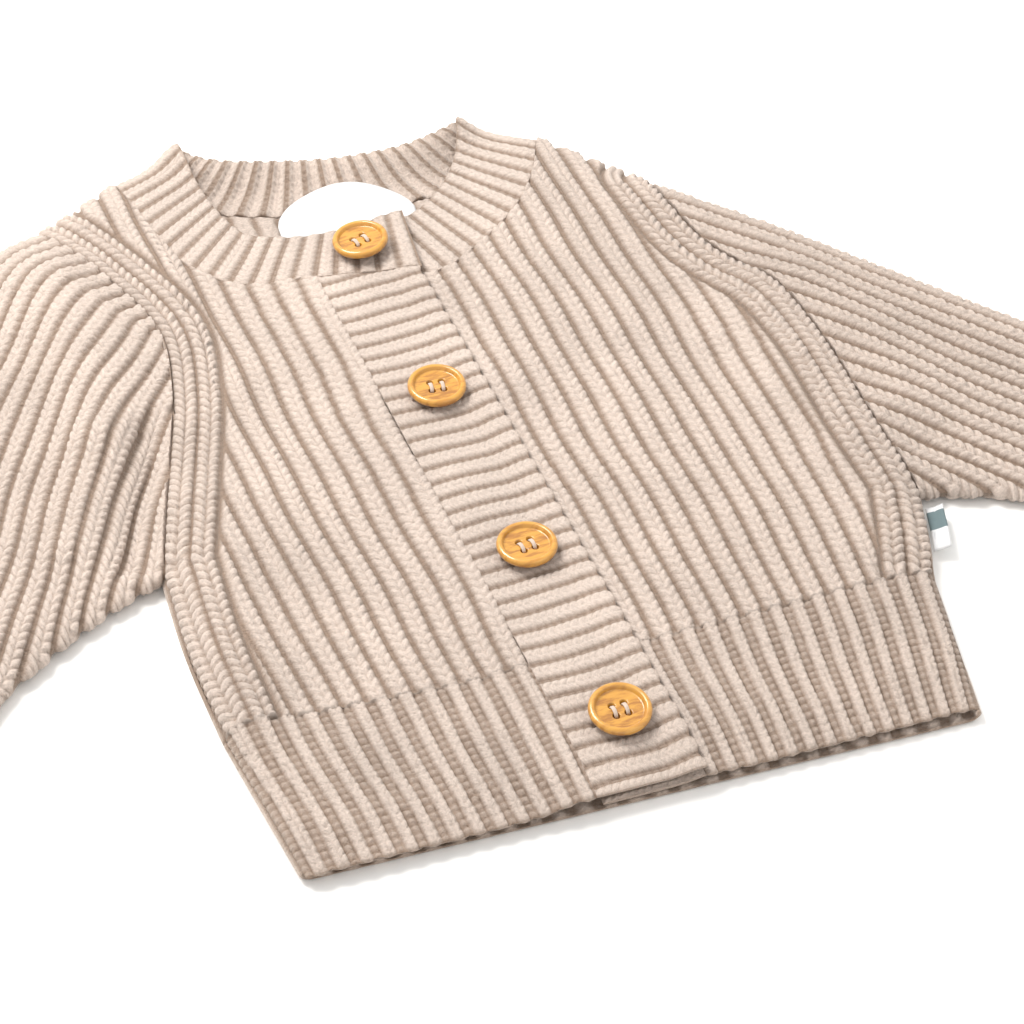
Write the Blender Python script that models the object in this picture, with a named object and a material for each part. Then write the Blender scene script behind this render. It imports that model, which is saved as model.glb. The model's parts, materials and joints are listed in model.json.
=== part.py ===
"""Baby cardigan in chunky rib knit, buttoned up and laid flat on a surface.

Axes: +X to the wearer's left, +Y from the hem to the neck, +Z up.  The plan is drawn in millimetres
from the foot of the button line, then the whole garment is moved so that its box stands on the
origin.  "Right" and "left" are the wearer's.

Every knitted piece is a wall: a grid of points on its middle surface, moved out half a wall to each
side.  The back layer lies on the surface and turns up at its folded edges, and the front layer lies
on it and rolls down to meet it there.
"""
import math

import bmesh
import bpy
import numpy as np

# ---------------------------------------------------------------- driving dimensions, millimetres
MM = 0.001
WALL = 3.0                # thickness of the knitted cloth
GAP = 0.3                 # space between pieces at a seam
BACK_Z = WALL / 2         # height of the back layer's middle surface
EDGE_Z = 4.0              # height at which front and back meet along a folded edge
BACK_TURN = 2.6           # how far in from a folded edge the back layer turns up
FOLD_GAP = 0.25           # half the space between the two layers' ends along a folded edge
FOLD_HAIR = 0.06          # how near a folded edge counts as on it
FRONT_ROLL = 15.0         # how far in from a folded edge the front layer rolls down

BAND_HALF = 16.0          # half the width of the button and buttonhole bands
UNDER_FREE_X = -14.0      # free edge of the button band, hidden below the buttonhole band
LAP_OVER = 2.1            # rise of the upper band where the bands lap
LAP_EDGE = 1.4            # further rise of the upper band's free edge
LAP_UNDER = 1.3           # sink of the lower band
NECKBAND_GAP = 0.6        # between the neckband and the edge it is sewn to
CUFF_LENGTH = 40.0
CUFF_DRAW = 3.0           # how far the cuff rib draws in at each edge
CUFF_LEVEL = 8.0          # height of the upper layer's middle surface at the cuffs
SLEEVE_GAP = 1.7          # along the sleeve, between it and the armhole seam
BACK_HEM_EXTRA = {"right": -2.0, "left": 1.5}   # how much lower the back hem lies than the front
NECK_STAND = 6.5          # how far the neckband's free edge stands up at the back of the neck
NECK_STAND_WIDTH = 9.0    # half width of the stretch that stands up

BUTTON_RADIUS = 9.0
BUTTON_THICK = 3.2
BUTTON_HOLE_RADIUS = 0.8
BUTTON_HOLE_PITCH = 3.6
BUTTONHOLE_HALF = 8.0     # half the length of a buttonhole
BUTTONHOLE_OPEN = 1.0     # how far a buttonhole gapes

NECK_LABEL_SIZE = (46.0, 25.0)
NECK_LABEL_THICK = 0.6
SIDE_LABEL_REACH = 5.0    # how far the side tab stands out of the seam
SIDE_LABEL_THICK = 1.0

SIGN = {"right": -1, "left": 1}

# The laid outline of the body, a row a side: where the folded edges and seams run in plan.
OUTLINE = {
    "right": {
        "hem": (-98.5, 7.5), "join": (-103, 62), "waist": (-103, 95), "underarm": (-100, 129),
        "armhole": [(-87, 165), (-75, 200), (-70, 231), (-79, 262)],
        "shoulder": (-92, 292), "neck": (-61, 309), "peak": (-37, 316),
        "sleeve_under": [(-117, 123), (-137, 113)], "cuff_under": (-156, 101),
        "sleeve_over": [(-114, 281), (-155, 226)], "cuff_over": (-204, 141),
    },
    "left": {
        "hem": (98, -2), "join": (109.5, 49), "waist": (115.5, 64), "underarm": (121.5, 82),
        "armhole": [(121.5, 112), (123, 148), (120.5, 181), (108, 212)],
        "shoulder": (104.5, 248), "neck": (79, 283), "peak": (56, 298),
        "sleeve_under": [(135, 78), (153, 69)], "cuff_under": (174, 51),
        "sleeve_over": [(139, 205), (188, 140)], "cuff_over": (223, 96),
    },
}

# The neckband, a row a section from its upper free end to its lower one, going round the neck:
# which layer it lies in, its seam edge and its free edge.
NECKBAND = [
    ("over", (17.0, 227.0), (21.0, 256.5)),
    ("over", (-3.0, 232.5), (-1.0, 255.5)),
    ("over", (-22.0, 236.5), (-17.0, 257.0)),
    ("over", (-40.0, 243.5), (-28.5, 264.5)),
    ("over", (-52.0, 258.0), (-33.5, 277.0)),
    ("over", (-57.5, 280.0), (-36.0, 295.0)),
    ("fold", OUTLINE["right"]["neck"], OUTLINE["right"]["peak"]),
    ("back", (-45.0, 296.0), (-27.5, 307.0)),
    ("back", (-26.0, 283.0), (-13.0, 300.5)),
    ("back", (8.0, 272.0), (8.5, 294.0)),
    ("back", (43.0, 270.5), (31.0, 292.0)),
    ("back", (63.0, 275.0), (45.5, 294.5)),
    ("fold", OUTLINE["left"]["neck"], OUTLINE["left"]["peak"]),
    ("under", (70.5, 265.0), (50.0, 283.0)),
    ("under", (59.0, 250.0), (41.0, 270.0)),
    ("under", (41.0, 236.5), (30.0, 260.5)),
    ("under", (20.0, 226.5), (19.0, 256.5)),
    ("under", (-12.0, 235.0), (-10.5, 255.5)),
]

# Height of the front layer's middle surface, up the body from the hem.
FRONT_LEVELS = {"y": (0, 30, 62, 100, 190, 250, 310), "z": (7.2, 7.5, 8.2, 8.4, 8.4, 8.2, 8.0)}

# Swells and creases laid in the front layer: the line each one follows, its half width and its height.
SWELLS = [
    {"name": "right side roll", "from": (-99, 64), "to": (-86, 150), "half": 12.0, "height": 3.2},
    {"name": "left side roll", "from": (112, 62), "to": (111, 150), "half": 11.0, "height": 1.6},
    {"name": "right sleeve cap", "from": (-96, 262), "to": (-100, 188), "half": 17.0, "height": 4.0},
    {"name": "left sleeve cap", "from": (129, 178), "to": (139, 120), "half": 15.0, "height": 2.4},
    {"name": "right underarm crease", "from": (-88, 176), "to": (-100, 136), "half": 5.0, "height": -2.6},
    {"name": "left underarm crease", "from": (129, 96), "to": (146, 80), "half": 6.0, "height": -1.4},
]

# Buttons, from the neck down: place in plan, tilt to the wearer's left and tilt to the hem, degrees.
BUTTONS = [
    {"name": "button_1", "at": (2.0, 243.0), "roll": -5.0, "pitch": -3.0},
    {"name": "button_2", "at": (0.0, 169.0), "roll": 0.0, "pitch": 1.0},
    {"name": "button_3", "at": (0.0, 95.0), "roll": 0.0, "pitch": 0.0},
    {"name": "button_4", "at": (0.0, 26.0), "roll": 0.0, "pitch": 5.0},
]


# ---------------------------------------------------------------- curves and heights
def smooth(points, count=48):
    """Catmull-Rom curve through the points, read at equal steps of length."""
    p = np.array(points, dtype=float)
    p = np.vstack([2 * p[0] - p[1], p, 2 * p[-1] - p[-2]])
    t = np.linspace(0, 1, 17)[:, None]
    spans = []
    for a, b, c, d in zip(p[:-3], p[1:-2], p[2:-1], p[3:]):
        bend = 2 * a - 5 * b + 4 * c - d
        turn = 3 * b - a - 3 * c + d
        spans.append(0.5 * (2 * b + (c - a) * t + bend * t ** 2 + turn * t ** 3))
    line = np.vstack([spans[0][:1]] + [span[1:] for span in spans])
    return read_along(line, np.linspace(0, 1, count))


def read_along(line, where):
    """Points of a polyline at the given shares of its length."""
    steps = np.linalg.norm(np.diff(line, axis=0), axis=1)
    along = np.concatenate([[0], np.cumsum(steps)]) / steps.sum()
    return np.stack([np.interp(where, along, line[:, k]) for k in range(line.shape[1])], axis=-1)


def chain(*parts):
    """One curve made of several, each given its share of the run from 0 to 1."""
    places, points, start = [], [], 0.0
    for share, line in parts:
        places.append(np.linspace(start, start + share, len(line)))
        points.append(np.asarray(line, dtype=float))
        start += share
    places, points = np.concatenate(places), np.vstack(points)
    return lambda t: np.stack([np.interp(t, places, points[:, k]) for k in range(2)], axis=-1)


def coons(low, high, start, end, s, t, hold=1):
    """Patch between four curves: low and high run along s, start and end run along t.

    The bow of the start and end curves fades inward, and the more quickly the larger hold is.
    """
    a, b = s[..., None], t[..., None]
    zero, one = np.zeros(1), np.ones(1)
    first = start(t) - (1 - b) * start(zero) - b * start(one)
    last = end(t) - (1 - b) * end(zero) - b * end(one)
    return (1 - b) * low(s) + b * high(s) + (1 - a) ** hold * first + a ** hold * last


def distance(plan, line):
    """Distance in plan from each point to a polyline."""
    best = np.full(plan.shape[:-1], np.inf)
    for p, q in zip(line[:-1], line[1:]):
        run = q - p
        share = np.clip(((plan - p) @ run) / max(run @ run, 1e-9), 0, 1)
        best = np.minimum(best, np.linalg.norm(plan - p - share[..., None] * run, axis=-1))
    return best


def ease(value, start, end):
    """0 before start, 1 after end, with a soft change between them."""
    t = np.clip((value - start) / (end - start), 0, 1)
    return t * t * (3 - 2 * t)


def cuff_frame(side):
    """Ends of the line where a cuff rib is knitted on, and the way the cuff runs from it."""
    under, over = np.array(OUTLINE[side]["cuff_under"], float), np.array(OUTLINE[side]["cuff_over"], float)
    across = (over - under) / np.linalg.norm(over - under)
    return under, over, -SIGN[side] * np.array([-across[1], across[0]])


def folded_edges():
    """Side seam with the sleeve's under edge, and shoulder with its upper edge, on both sides."""
    lines = []
    for side in ("right", "left"):
        o = {place: np.array(point, dtype=float) for place, point in OUTLINE[side].items()}
        under, over, run = cuff_frame(side)
        across = (over - under) / np.linalg.norm(over - under)
        far = 2 * run * CUFF_LENGTH
        draw = 2 * across * CUFF_DRAW
        past_hem = 2 * o["hem"] - o["join"]
        lines.append(np.vstack([past_hem, side_seam(side), sleeve_under(side), under + far + draw]))
        lines.append(np.vstack([o["peak"], o["neck"], sleeve_over(side), over + far - draw]))
    return lines


def side_seam(side):
    o = OUTLINE[side]
    return smooth([o["join"], o["waist"], o["underarm"]], 12)


def armhole(side):
    o = OUTLINE[side]
    return smooth([o["underarm"], *o["armhole"], o["shoulder"]], 40)


def sleeve_under(side):
    o = OUTLINE[side]
    return smooth([o["underarm"], *o["sleeve_under"], o["cuff_under"]], 16)


def sleeve_over(side):
    o = OUTLINE[side]
    return smooth([o["shoulder"], *o["sleeve_over"], o["cuff_over"]], 16)


FOLDS = folded_edges()


def edge_distance(plan):
    """Distance in from the nearest folded edge, 0 on it and within a hair of it."""
    return np.maximum(np.min([distance(plan, fold) for fold in FOLDS], axis=0) - FOLD_HAIR, 0)


def front_height(plan, level):
    """Front layer: a quarter-round roll at the folded edges, the level inside, and the swells."""
    inward = np.clip(edge_distance(plan) / FRONT_ROLL, 0, 1)
    rolled = np.sqrt(1 - (1 - inward) ** 2)
    low = EDGE_Z + FOLD_GAP
    height = level.copy()
    for swell in SWELLS:
        far = distance(plan, np.array([swell["from"], swell["to"]], dtype=float)) / swell["half"]
        height += swell["height"] * np.exp(-far ** 2)
    return low + (height - low) * rolled


def back_height(plan):
    """Back layer: flat on the surface, with a quarter-round turn up at the folded edges."""
    inward = np.clip(edge_distance(plan) / BACK_TURN, 0, 1)
    turned = 1 - np.sqrt(1 - (1 - inward) ** 2)
    return BACK_Z + (EDGE_Z - FOLD_GAP - BACK_Z) * turned


def neck_stand(plan):
    """Rise of the neckband, and of the label on it, towards the free edge at the back of the neck."""
    return NECK_STAND * np.exp(-(distance(plan, neckband_curves("back")[1][::12]) / NECK_STAND_WIDTH) ** 2)


def body_level(plan):
    return np.interp(plan[..., 1], FRONT_LEVELS["y"], FRONT_LEVELS["z"])


def lap_over(x):
    """Rise of the pieces on the right front where they lap over the left."""
    return LAP_OVER * ease(x, -34, -20) + LAP_EDGE * ease(x, 5, 14)


def lap_under(x):
    """Sink of the pieces on the left front where they lie below the right."""
    return -LAP_UNDER * ease(-x, -BAND_HALF, -8)


# ---------------------------------------------------------------- solids
def material(name, colour, roughness):
    made = bpy.data.materials.new(name)
    made.use_nodes = True
    shader = made.node_tree.nodes["Principled BSDF"]
    shader.inputs["Base Color"].default_value = (*colour, 1.0)
    shader.inputs["Roughness"].default_value = roughness
    shader.inputs["Metallic"].default_value = 0.0
    return made


def add_object(name, mesh, colour, roughness):
    mesh.materials.clear()
    mesh.materials.append(material(name, colour, roughness))
    made = bpy.data.objects.new(name, mesh)
    bpy.context.scene.collection.objects.link(made)
    return made


def sheet(plan, height, seams=(), lift=0.0):
    """Middle surface of a layer, at its height and lift together, and its unit normals.

    Along a folded edge the normals lie level, so that the two layers' ends face each other.  Along
    each seam, an edge given as an index of the grid, they stay in the seam's own upright plane, so
    that neighbours clear.
    """
    mid = np.concatenate([plan, (height + lift)[..., None]], axis=-1)
    normal = np.cross(np.gradient(mid, axis=1), np.gradient(mid, axis=0))
    normal[np.abs(height - EDGE_Z) < 1.1 * FOLD_GAP, 2] = 0
    for edge in seams:
        turned = normal[edge]
        tangent = np.gradient(plan[edge], axis=0)
        side = np.stack([-tangent[:, 1], tangent[:, 0]], axis=1)
        side /= np.linalg.norm(side, axis=1, keepdims=True)
        turned[:, :2] -= (turned[:, :2] * side).sum(axis=1, keepdims=True) * side
    return mid, normal / np.linalg.norm(normal, axis=-1, keepdims=True)


def wall(name, surface, colour, roughness=0.9, thick=WALL, ring=False, keep=None):
    """Closed solid: the grid's cells on both faces of the wall, and a strip round each open edge."""
    mid, normal = surface
    rows, columns = mid.shape[:2]
    points = np.concatenate([mid + normal * thick / 2, mid - normal * thick / 2]).reshape(-1, 3) * MM
    count = rows * columns
    cells = columns if ring else columns - 1
    if keep is None:
        keep = np.ones((rows - 1, cells), dtype=bool)
    faces = []
    for i, j in np.argwhere(keep).tolist():
        after = (j + 1) % columns
        corner = [i * columns + j, i * columns + after, (i + 1) * columns + after, (i + 1) * columns + j]
        faces.append(corner)
        faces.append([c + count for c in reversed(corner)])
        for k, (row, column) in enumerate([(i - 1, j), (i, j + 1), (i + 1, j), (i, j - 1)]):
            column = column % cells if ring else column
            open_side = not (0 <= row < rows - 1 and 0 <= column < cells and keep[row, column])
            if open_side:
                a, b = corner[k], corner[(k + 1) % 4]
                faces.append([b, a, a + count, b + count])
    mesh = bpy.data.meshes.new(name)
    mesh.from_pydata(points.tolist(), [], faces)
    clean = bmesh.new()
    clean.from_mesh(mesh)
    bmesh.ops.delete(clean, geom=[v for v in clean.verts if not v.link_faces], context="VERTS")
    bmesh.ops.triangulate(clean, faces=clean.faces[:])
    bmesh.ops.recalc_face_normals(clean, faces=clean.faces[:])
    clean.to_mesh(mesh)
    clean.free()
    return add_object(name, mesh, colour, roughness)


def stations(length, near_start, near_end, count):
    """Shares of a length: given distances in from its ends, and even steps between them."""
    first = np.array(near_start) / length
    last = 1 - np.array(near_end)[::-1] / length
    return np.concatenate([first, np.linspace(first[-1], last[0], count + 2)[1:-1], last])


# ---------------------------------------------------------------- the knitted pieces
OAT = (0.73, 0.63, 0.56)
OAT_DEEP = (0.62, 0.52, 0.45)
LABEL_WHITE = (0.85, 0.85, 0.84)
ROLL_STEPS = (0, 1.0, 3.0, 7.0)      # places near a folded edge where the front layer bends
TURN_STEPS = (0, 0.9, 2.6)           # the same for the back layer
END_STEP = (0,)
ARMHOLE_LENGTH = 165.0
BODY_GAP = np.array([0, GAP / 2])


def line(*points):
    return chain((1, points))


def ends_of(curve):
    return curve(np.zeros(1))[0], curve(np.ones(1))[0]


def neckband_curves(name):
    """Seam edge and free edge of the neckband along one stretch, from the free end or right fold."""
    folds = [i for i, row in enumerate(NECKBAND) if row[0] == "fold"]
    span = {"over": range(folds[0] + 1), "back": range(folds[0], folds[1] + 1),
            "under": range(len(NECKBAND) - 1, folds[1] - 1, -1)}[name]
    return [smooth([NECKBAND[i][column] for i in span], 240) for column in (1, 2)]


def neckline(side):
    """Front neckline from the band's corner to the shoulder, and its share of the neckband's edge."""
    seam = neckband_curves("over" if side == "right" else "under")[0]
    share = np.interp(BAND_HALF + GAP / 2, np.abs(seam[:, 0]) * np.where(SIGN[side] * seam[:, 0] > 0, 1, -1),
                      np.linspace(0, 1, len(seam)))
    return read_along(seam, share + (1 - share) * np.linspace(0, 1, 160)), share


def run_length(curve):
    return np.linalg.norm(np.diff(curve, axis=0), axis=1).sum()


def neck_columns(side):
    """Places along a front neckline, closing up to the shoulder fold."""
    return stations(run_length(neckline(side)[0]), END_STEP, ROLL_STEPS, 5)


def back_columns():
    return stations(run_length(neckband_curves("back")[0]), TURN_STEPS, TURN_STEPS, 7)


def armhole_rows(near):
    """Places along an armhole, the same on the body and on the sleeve that is sewn to it."""
    return stations(ARMHOLE_LENGTH, near, near, 7)


def join_y(x):
    """Where the hem rib joins the body, across the garment."""
    right, left = OUTLINE["right"]["join"], OUTLINE["left"]["join"]
    return np.interp(x, (right[0], -BAND_HALF, BAND_HALF, left[0]), (right[1], 53, 52, left[1]))


def hem_y(x):
    """Where the front hem ends, across the garment."""
    right, left = OUTLINE["right"]["hem"], OUTLINE["left"]["hem"]
    return np.interp(x, (right[0], left[0]), (right[1], left[1]))


def front_surface(side, plan, seams):
    """A front piece's sheet; those of the right front rise where they lap."""
    height = front_height(plan, body_level(plan))
    if side == "right":
        height += lap_over(plan[..., 0])
    return sheet(plan, height, seams)


def body_side(side, share):
    """Side edge of a body panel, from the hem rib's seam up the side and round the armhole."""
    seam = side_seam(side)
    seam[0] += BODY_GAP
    return chain((share, seam), (1 - share, armhole(side)))


def make_front(side):
    o = OUTLINE[side]
    share_side, share_neck = {"right": (0.3, 0.62), "left": (0.2, 0.72)}[side]
    inner = SIGN[side] * (BAND_HALF + GAP / 2)
    edge = neckline(side)[0]
    foot = np.array([inner, join_y(inner)]) + BODY_GAP
    low = line(foot, o["join"] + BODY_GAP)
    high = chain((share_neck, edge), (1 - share_neck, [o["neck"], o["shoulder"]]))
    shoulder = 1 - np.array([13.0, *ROLL_STEPS[::-1]]) / 90.0
    columns = np.concatenate([share_neck * neck_columns(side), [0.5 * (share_neck + shoulder[0])], shoulder])
    rows = np.concatenate([np.linspace(0, share_side, 5)[:-1],
                           share_side + (1 - share_side) * armhole_rows(ROLL_STEPS)])
    t, s = np.meshgrid(rows, columns, indexing="ij")
    plan = coons(low, high, line(foot, edge[0]), body_side(side, share_side), s, t, hold=4)
    armhole_seam = np.s_[4:, -1]
    neck_seam = np.s_[-1, :len(neck_columns(side))]
    wall(f"front_{side}", front_surface(side, plan, (armhole_seam, neck_seam)), OAT)


def make_hem_front(side):
    o = OUTLINE[side]
    inner = SIGN[side] * (BAND_HALF + GAP / 2)
    low = line((inner, hem_y(inner)), o["hem"])
    high = line((inner, join_y(inner) - GAP / 2), o["join"] - BODY_GAP)
    start, end = [line(a, b) for a, b in zip(ends_of(low), ends_of(high))]
    columns = stations(88, END_STEP, (*ROLL_STEPS, 13.0), 4)
    t, s = np.meshgrid(np.linspace(0, 1, 4), columns, indexing="ij")
    plan = coons(low, high, start, end, s, t)
    wall(f"hem_rib_front_{side}", front_surface(side, plan, ()), OAT)


def make_back():
    right, left = OUTLINE["right"], OUTLINE["left"]
    share_side, share_r, share_l, width = 0.28, 0.15, 0.12, 215.0
    low = line(right["join"] + BODY_GAP, left["join"] + BODY_GAP)
    edge = neckband_curves("back")[0]
    high = chain((share_r, [right["shoulder"], right["neck"]]), (1 - share_r - share_l, edge),
                 (share_l, [left["neck"], left["shoulder"]]))
    near = np.array([*TURN_STEPS, 16.0]) / width
    columns = np.concatenate([near, share_r + (1 - share_r - share_l) * back_columns(), 1 - near[::-1]])
    rows = np.concatenate([np.linspace(0, share_side, 5)[:-1],
                           share_side + (1 - share_side) * armhole_rows(TURN_STEPS)])
    t, s = np.meshgrid(rows, columns, indexing="ij")
    plan = coons(low, high, body_side("right", share_side), body_side("left", share_side), s, t, hold=4)
    first = len(near)
    seams = (np.s_[4:, 0], np.s_[4:, -1], np.s_[-1, first:first + len(back_columns())])
    wall("back", sheet(plan, back_height(plan), seams), OAT_DEEP)


def make_hem_back():
    right, left = OUTLINE["right"], OUTLINE["left"]
    corners = []
    for o, extra in ((right, BACK_HEM_EXTRA["right"]), (left, BACK_HEM_EXTRA["left"])):
        down = np.subtract(o["hem"], o["join"])
        corners.append(o["hem"] + extra * down / np.linalg.norm(down))
    low = line(*corners)
    high = line(right["join"] - BODY_GAP, left["join"] - BODY_GAP)
    start, end = [line(a, b) for a, b in zip(ends_of(low), ends_of(high))]
    t, s = np.meshgrid(np.linspace(0, 1, 4), stations(205, TURN_STEPS, TURN_STEPS, 8), indexing="ij")
    plan = coons(low, high, start, end, s, t)
    wall("hem_rib_back", sheet(plan, back_height(plan)), OAT_DEEP)


def tube(low, high, start, end, along, levels, seams=()):
    """A flattened tube: a rolled sheet on top and a turned-up one below, joined at both folds."""
    widths = np.linalg.norm(start(along) - end(along), axis=1)
    widths[0] = ARMHOLE_LENGTH if seams else widths[0]
    tops = np.array([stations(width, ROLL_STEPS, ROLL_STEPS, 7) for width in widths])
    bottoms = np.array([stations(width, TURN_STEPS, TURN_STEPS, 7)[::-1] for width in widths])
    t = along[:, None]
    plan = coons(low, high, start, end, tops, t + 0 * tops)
    above = sheet(plan, front_height(plan, levels[:, None] + 0 * tops), seams)
    plan = coons(low, high, start, end, bottoms, t + 0 * bottoms)
    below = sheet(plan, back_height(plan), seams)
    return [np.concatenate(pair, axis=1) for pair in zip(above, below)]


def make_sleeve(side):
    o = OUTLINE[side]
    low = chain((1, armhole(side)))
    high = line(o["cuff_under"], o["cuff_over"])
    start, end = chain((1, sleeve_under(side))), chain((1, sleeve_over(side)))
    along = np.linspace(0, 1, 10)
    along[0] = SLEEVE_GAP / run_length(sleeve_over(side))
    at_body = body_level(low(np.full(1, 0.5)))[0]
    levels = at_body + (CUFF_LEVEL - at_body) * along
    wall(f"sleeve_{side}", tube(low, high, start, end, along, levels, (np.s_[0],)), OAT, ring=True)


def make_cuff(side):
    """The cuff rib goes on along the sleeve's own line, drawn in a little by the rib."""
    under, over, run = cuff_frame(side)
    across = (over - under) / np.linalg.norm(over - under)
    low = line(under + run * GAP, over + run * GAP)
    far = run * CUFF_LENGTH
    high = line(under + far + across * CUFF_DRAW, over + far - across * CUFF_DRAW)
    start, end = [line(a, b) for a, b in zip(ends_of(low), ends_of(high))]
    levels = np.full(4, CUFF_LEVEL)
    wall(f"cuff_rib_{side}", tube(low, high, start, end, np.linspace(0, 1, 4), levels), OAT, ring=True)


def band_top(name, x):
    """Where a band stops below the neckband's seam edge, across the band."""
    seam = neckband_curves(name)[0][:80]
    order = np.argsort(seam[:, 0])
    return np.interp(x, seam[order, 0], seam[order, 1]) - 2 * GAP


def make_buttonhole_band():
    """The upper band, with a slit across it under each of the three lower buttons."""
    half = BUTTONHOLE_OPEN / 2
    places = sorted(row["at"][1] for row in BUTTONS[1:])
    foot, top = hem_y(0.0), band_top("over", 0.0)
    rows = [foot]
    for place in places:
        rows += [*np.linspace(rows[-1], place - half, 5)[1:], place + half]
    rows = np.array([*rows, *np.linspace(rows[-1], top, 5)[1:]])
    columns = np.array([-BAND_HALF + GAP / 2, -12, -BUTTONHOLE_HALF, 0, 5, BUTTONHOLE_HALF, 11, 14, BAND_HALF])
    y, x = np.meshgrid(rows, columns, indexing="ij")
    y += (hem_y(x) - foot) * ease(-y, -places[0] + 12, -foot)
    y += (band_top("over", x) - top) * ease(y, places[-1] + 12, top)
    plan = np.stack([x, y], axis=-1)
    keep = np.ones((len(rows) - 1, len(columns) - 1), dtype=bool)
    for place in places:
        keep[np.searchsorted(rows, place - half - 0.01), 2:5] = False
    wall("buttonhole_band", sheet(plan, body_level(plan) + lap_over(x)), OAT, keep=keep)


def make_button_band():
    """The lower band, sewn to the left front; its free edge lies under the upper band."""
    columns = np.array([UNDER_FREE_X, -6, 2, 8, 12, BAND_HALF - GAP / 2])
    t, x = np.meshgrid(np.linspace(0, 1, 12), columns, indexing="ij")
    plan = np.stack([x, hem_y(x) + t * (band_top("under", x) - hem_y(x))], axis=-1)
    wall("button_band", sheet(plan, body_level(plan) + lap_under(x)), OAT_DEEP)


def make_neckband():
    """A strip round the neck: on the front, round the right shoulder fold, behind, and back."""
    laps = {"over": ("right", lap_over), "under": ("left", lap_under)}
    middles, normals = [], []
    for name in ("over", "back", "under"):
        outer, inner = neckband_curves(name)
        along = back_columns()
        if name in laps:
            share = neckline(laps[name][0])[1]
            along = np.concatenate([[0, share / 2], share + (1 - share) * neck_columns(laps[name][0])])
        if name == "under":
            along = along[::-1]
        outer, inner = read_along(outer, along), read_along(inner, along)
        across = inner - outer
        outer = outer + NECKBAND_GAP * across / np.linalg.norm(across, axis=1, keepdims=True)
        plan = outer[:, None] + (inner - outer)[:, None] * np.linspace(0, 1, 4)[None, :, None]
        height = back_height(plan)
        if name in laps:
            height = front_height(plan, body_level(plan)) + laps[name][1](plan[..., 0])
        mid, normal = sheet(plan, height, (np.s_[:, 0],), neck_stand(plan))
        middles.append(mid)
        normals.append(normal)
    wall("neckband", [np.concatenate(middles), np.concatenate(normals)], OAT)


# ---------------------------------------------------------------- buttons and labels
def button_mesh():
    """Turned disc with a raised rim and a dished middle, pierced by four thread holes."""
    r, h = BUTTON_RADIUS, BUTTON_THICK
    profile = [(0, 0), (0.78 * r, 0), (0.95 * r, 0.28 * h), (r, 0.58 * h), (0.965 * r, 0.88 * h),
               (0.89 * r, h), (0.80 * r, 0.92 * h), (0.73 * r, 0.70 * h), (0.60 * r, 0.62 * h),
               (0.30 * r, 0.58 * h), (0, 0.58 * h)]
    turned = bmesh.new()
    ring = [turned.verts.new((x * MM, 0, z * MM)) for x, z in profile]
    edges = [turned.edges.new(pair) for pair in zip(ring[:-1], ring[1:])]
    bmesh.ops.spin(turned, geom=ring + edges, cent=(0, 0, 0), axis=(0, 0, 1), angle=2 * math.pi,
                   steps=32, use_merge=True)
    bmesh.ops.remove_doubles(turned, verts=turned.verts[:], dist=1e-6)
    bmesh.ops.recalc_face_normals(turned, faces=turned.faces[:])
    disc = bpy.data.meshes.new("button_disc")
    turned.to_mesh(disc)
    turned.free()

    drill = bmesh.new()
    for i in range(4):
        angle = math.radians(45 + 90 * i)
        reach = BUTTON_HOLE_PITCH / math.sqrt(2)
        made = bmesh.ops.create_cone(drill, cap_ends=True, segments=10, radius1=BUTTON_HOLE_RADIUS * MM,
                                     radius2=BUTTON_HOLE_RADIUS * MM, depth=3 * BUTTON_THICK * MM)
        move = (reach * math.cos(angle) * MM, reach * math.sin(angle) * MM, 0)
        bmesh.ops.translate(drill, verts=made["verts"], vec=move)
    pins = bpy.data.meshes.new("button_drill")
    drill.to_mesh(pins)
    drill.free()

    body = bpy.data.objects.new("button_blank", disc)
    cutter = bpy.data.objects.new("button_drill", pins)
    for made in (body, cutter):
        bpy.context.scene.collection.objects.link(made)
    cut = body.modifiers.new("holes", "BOOLEAN")
    cut.operation = "DIFFERENCE"
    cut.object = cutter
    bpy.context.view_layer.update()
    drilled = bpy.data.meshes.new_from_object(body.evaluated_get(bpy.context.evaluated_depsgraph_get()))
    for made in (body, cutter):
        bpy.data.objects.remove(made, do_unlink=True)
    drilled.shade_smooth()
    drilled.set_sharp_from_angle(angle=math.radians(40))
    return drilled


def make_buttons():
    blank = button_mesh()
    for row in BUTTONS:
        plan = np.array([row["at"]], dtype=float)
        tilt = max(abs(row["roll"]), abs(row["pitch"]))
        lift = GAP + 0.78 * BUTTON_RADIUS * math.sin(math.radians(tilt)) + 0.2
        height = body_level(plan)[0] + lap_over(plan[0, 0]) + WALL / 2 + lift
        made = add_object(row["name"], blank.copy(), (0.75, 0.33, 0.07), 0.3)
        made.location = (plan[0, 0] * MM, plan[0, 1] * MM, height * MM)
        made.rotation_euler = (math.radians(row["pitch"]), math.radians(row["roll"]), 0)


def make_neck_label():
    """A half-oval woven label inside the back neck, over the seam, its arched edge on the neckband."""
    width, tall = NECK_LABEL_SIZE
    centre = np.array([5.0, 259.0])
    turn = math.radians(-6)
    across = np.linspace(-1, 1, 11)
    top = np.sqrt(1 - (0.985 * across) ** 2)
    s, t = np.meshgrid(across, np.linspace(0, 1, 4))
    flat = np.stack([s * width / 2, t * (0.25 + 0.75 * top)[None, :] * tall], axis=-1)
    spin = np.array([[math.cos(turn), -math.sin(turn)], [math.sin(turn), math.cos(turn)]])
    plan = centre + flat @ spin.T
    height = WALL + NECKBAND_GAP + NECK_LABEL_THICK / 2 + neck_stand(plan)
    wall("neck_label", sheet(plan, height), LABEL_WHITE, 0.6, thick=NECK_LABEL_THICK)


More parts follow.
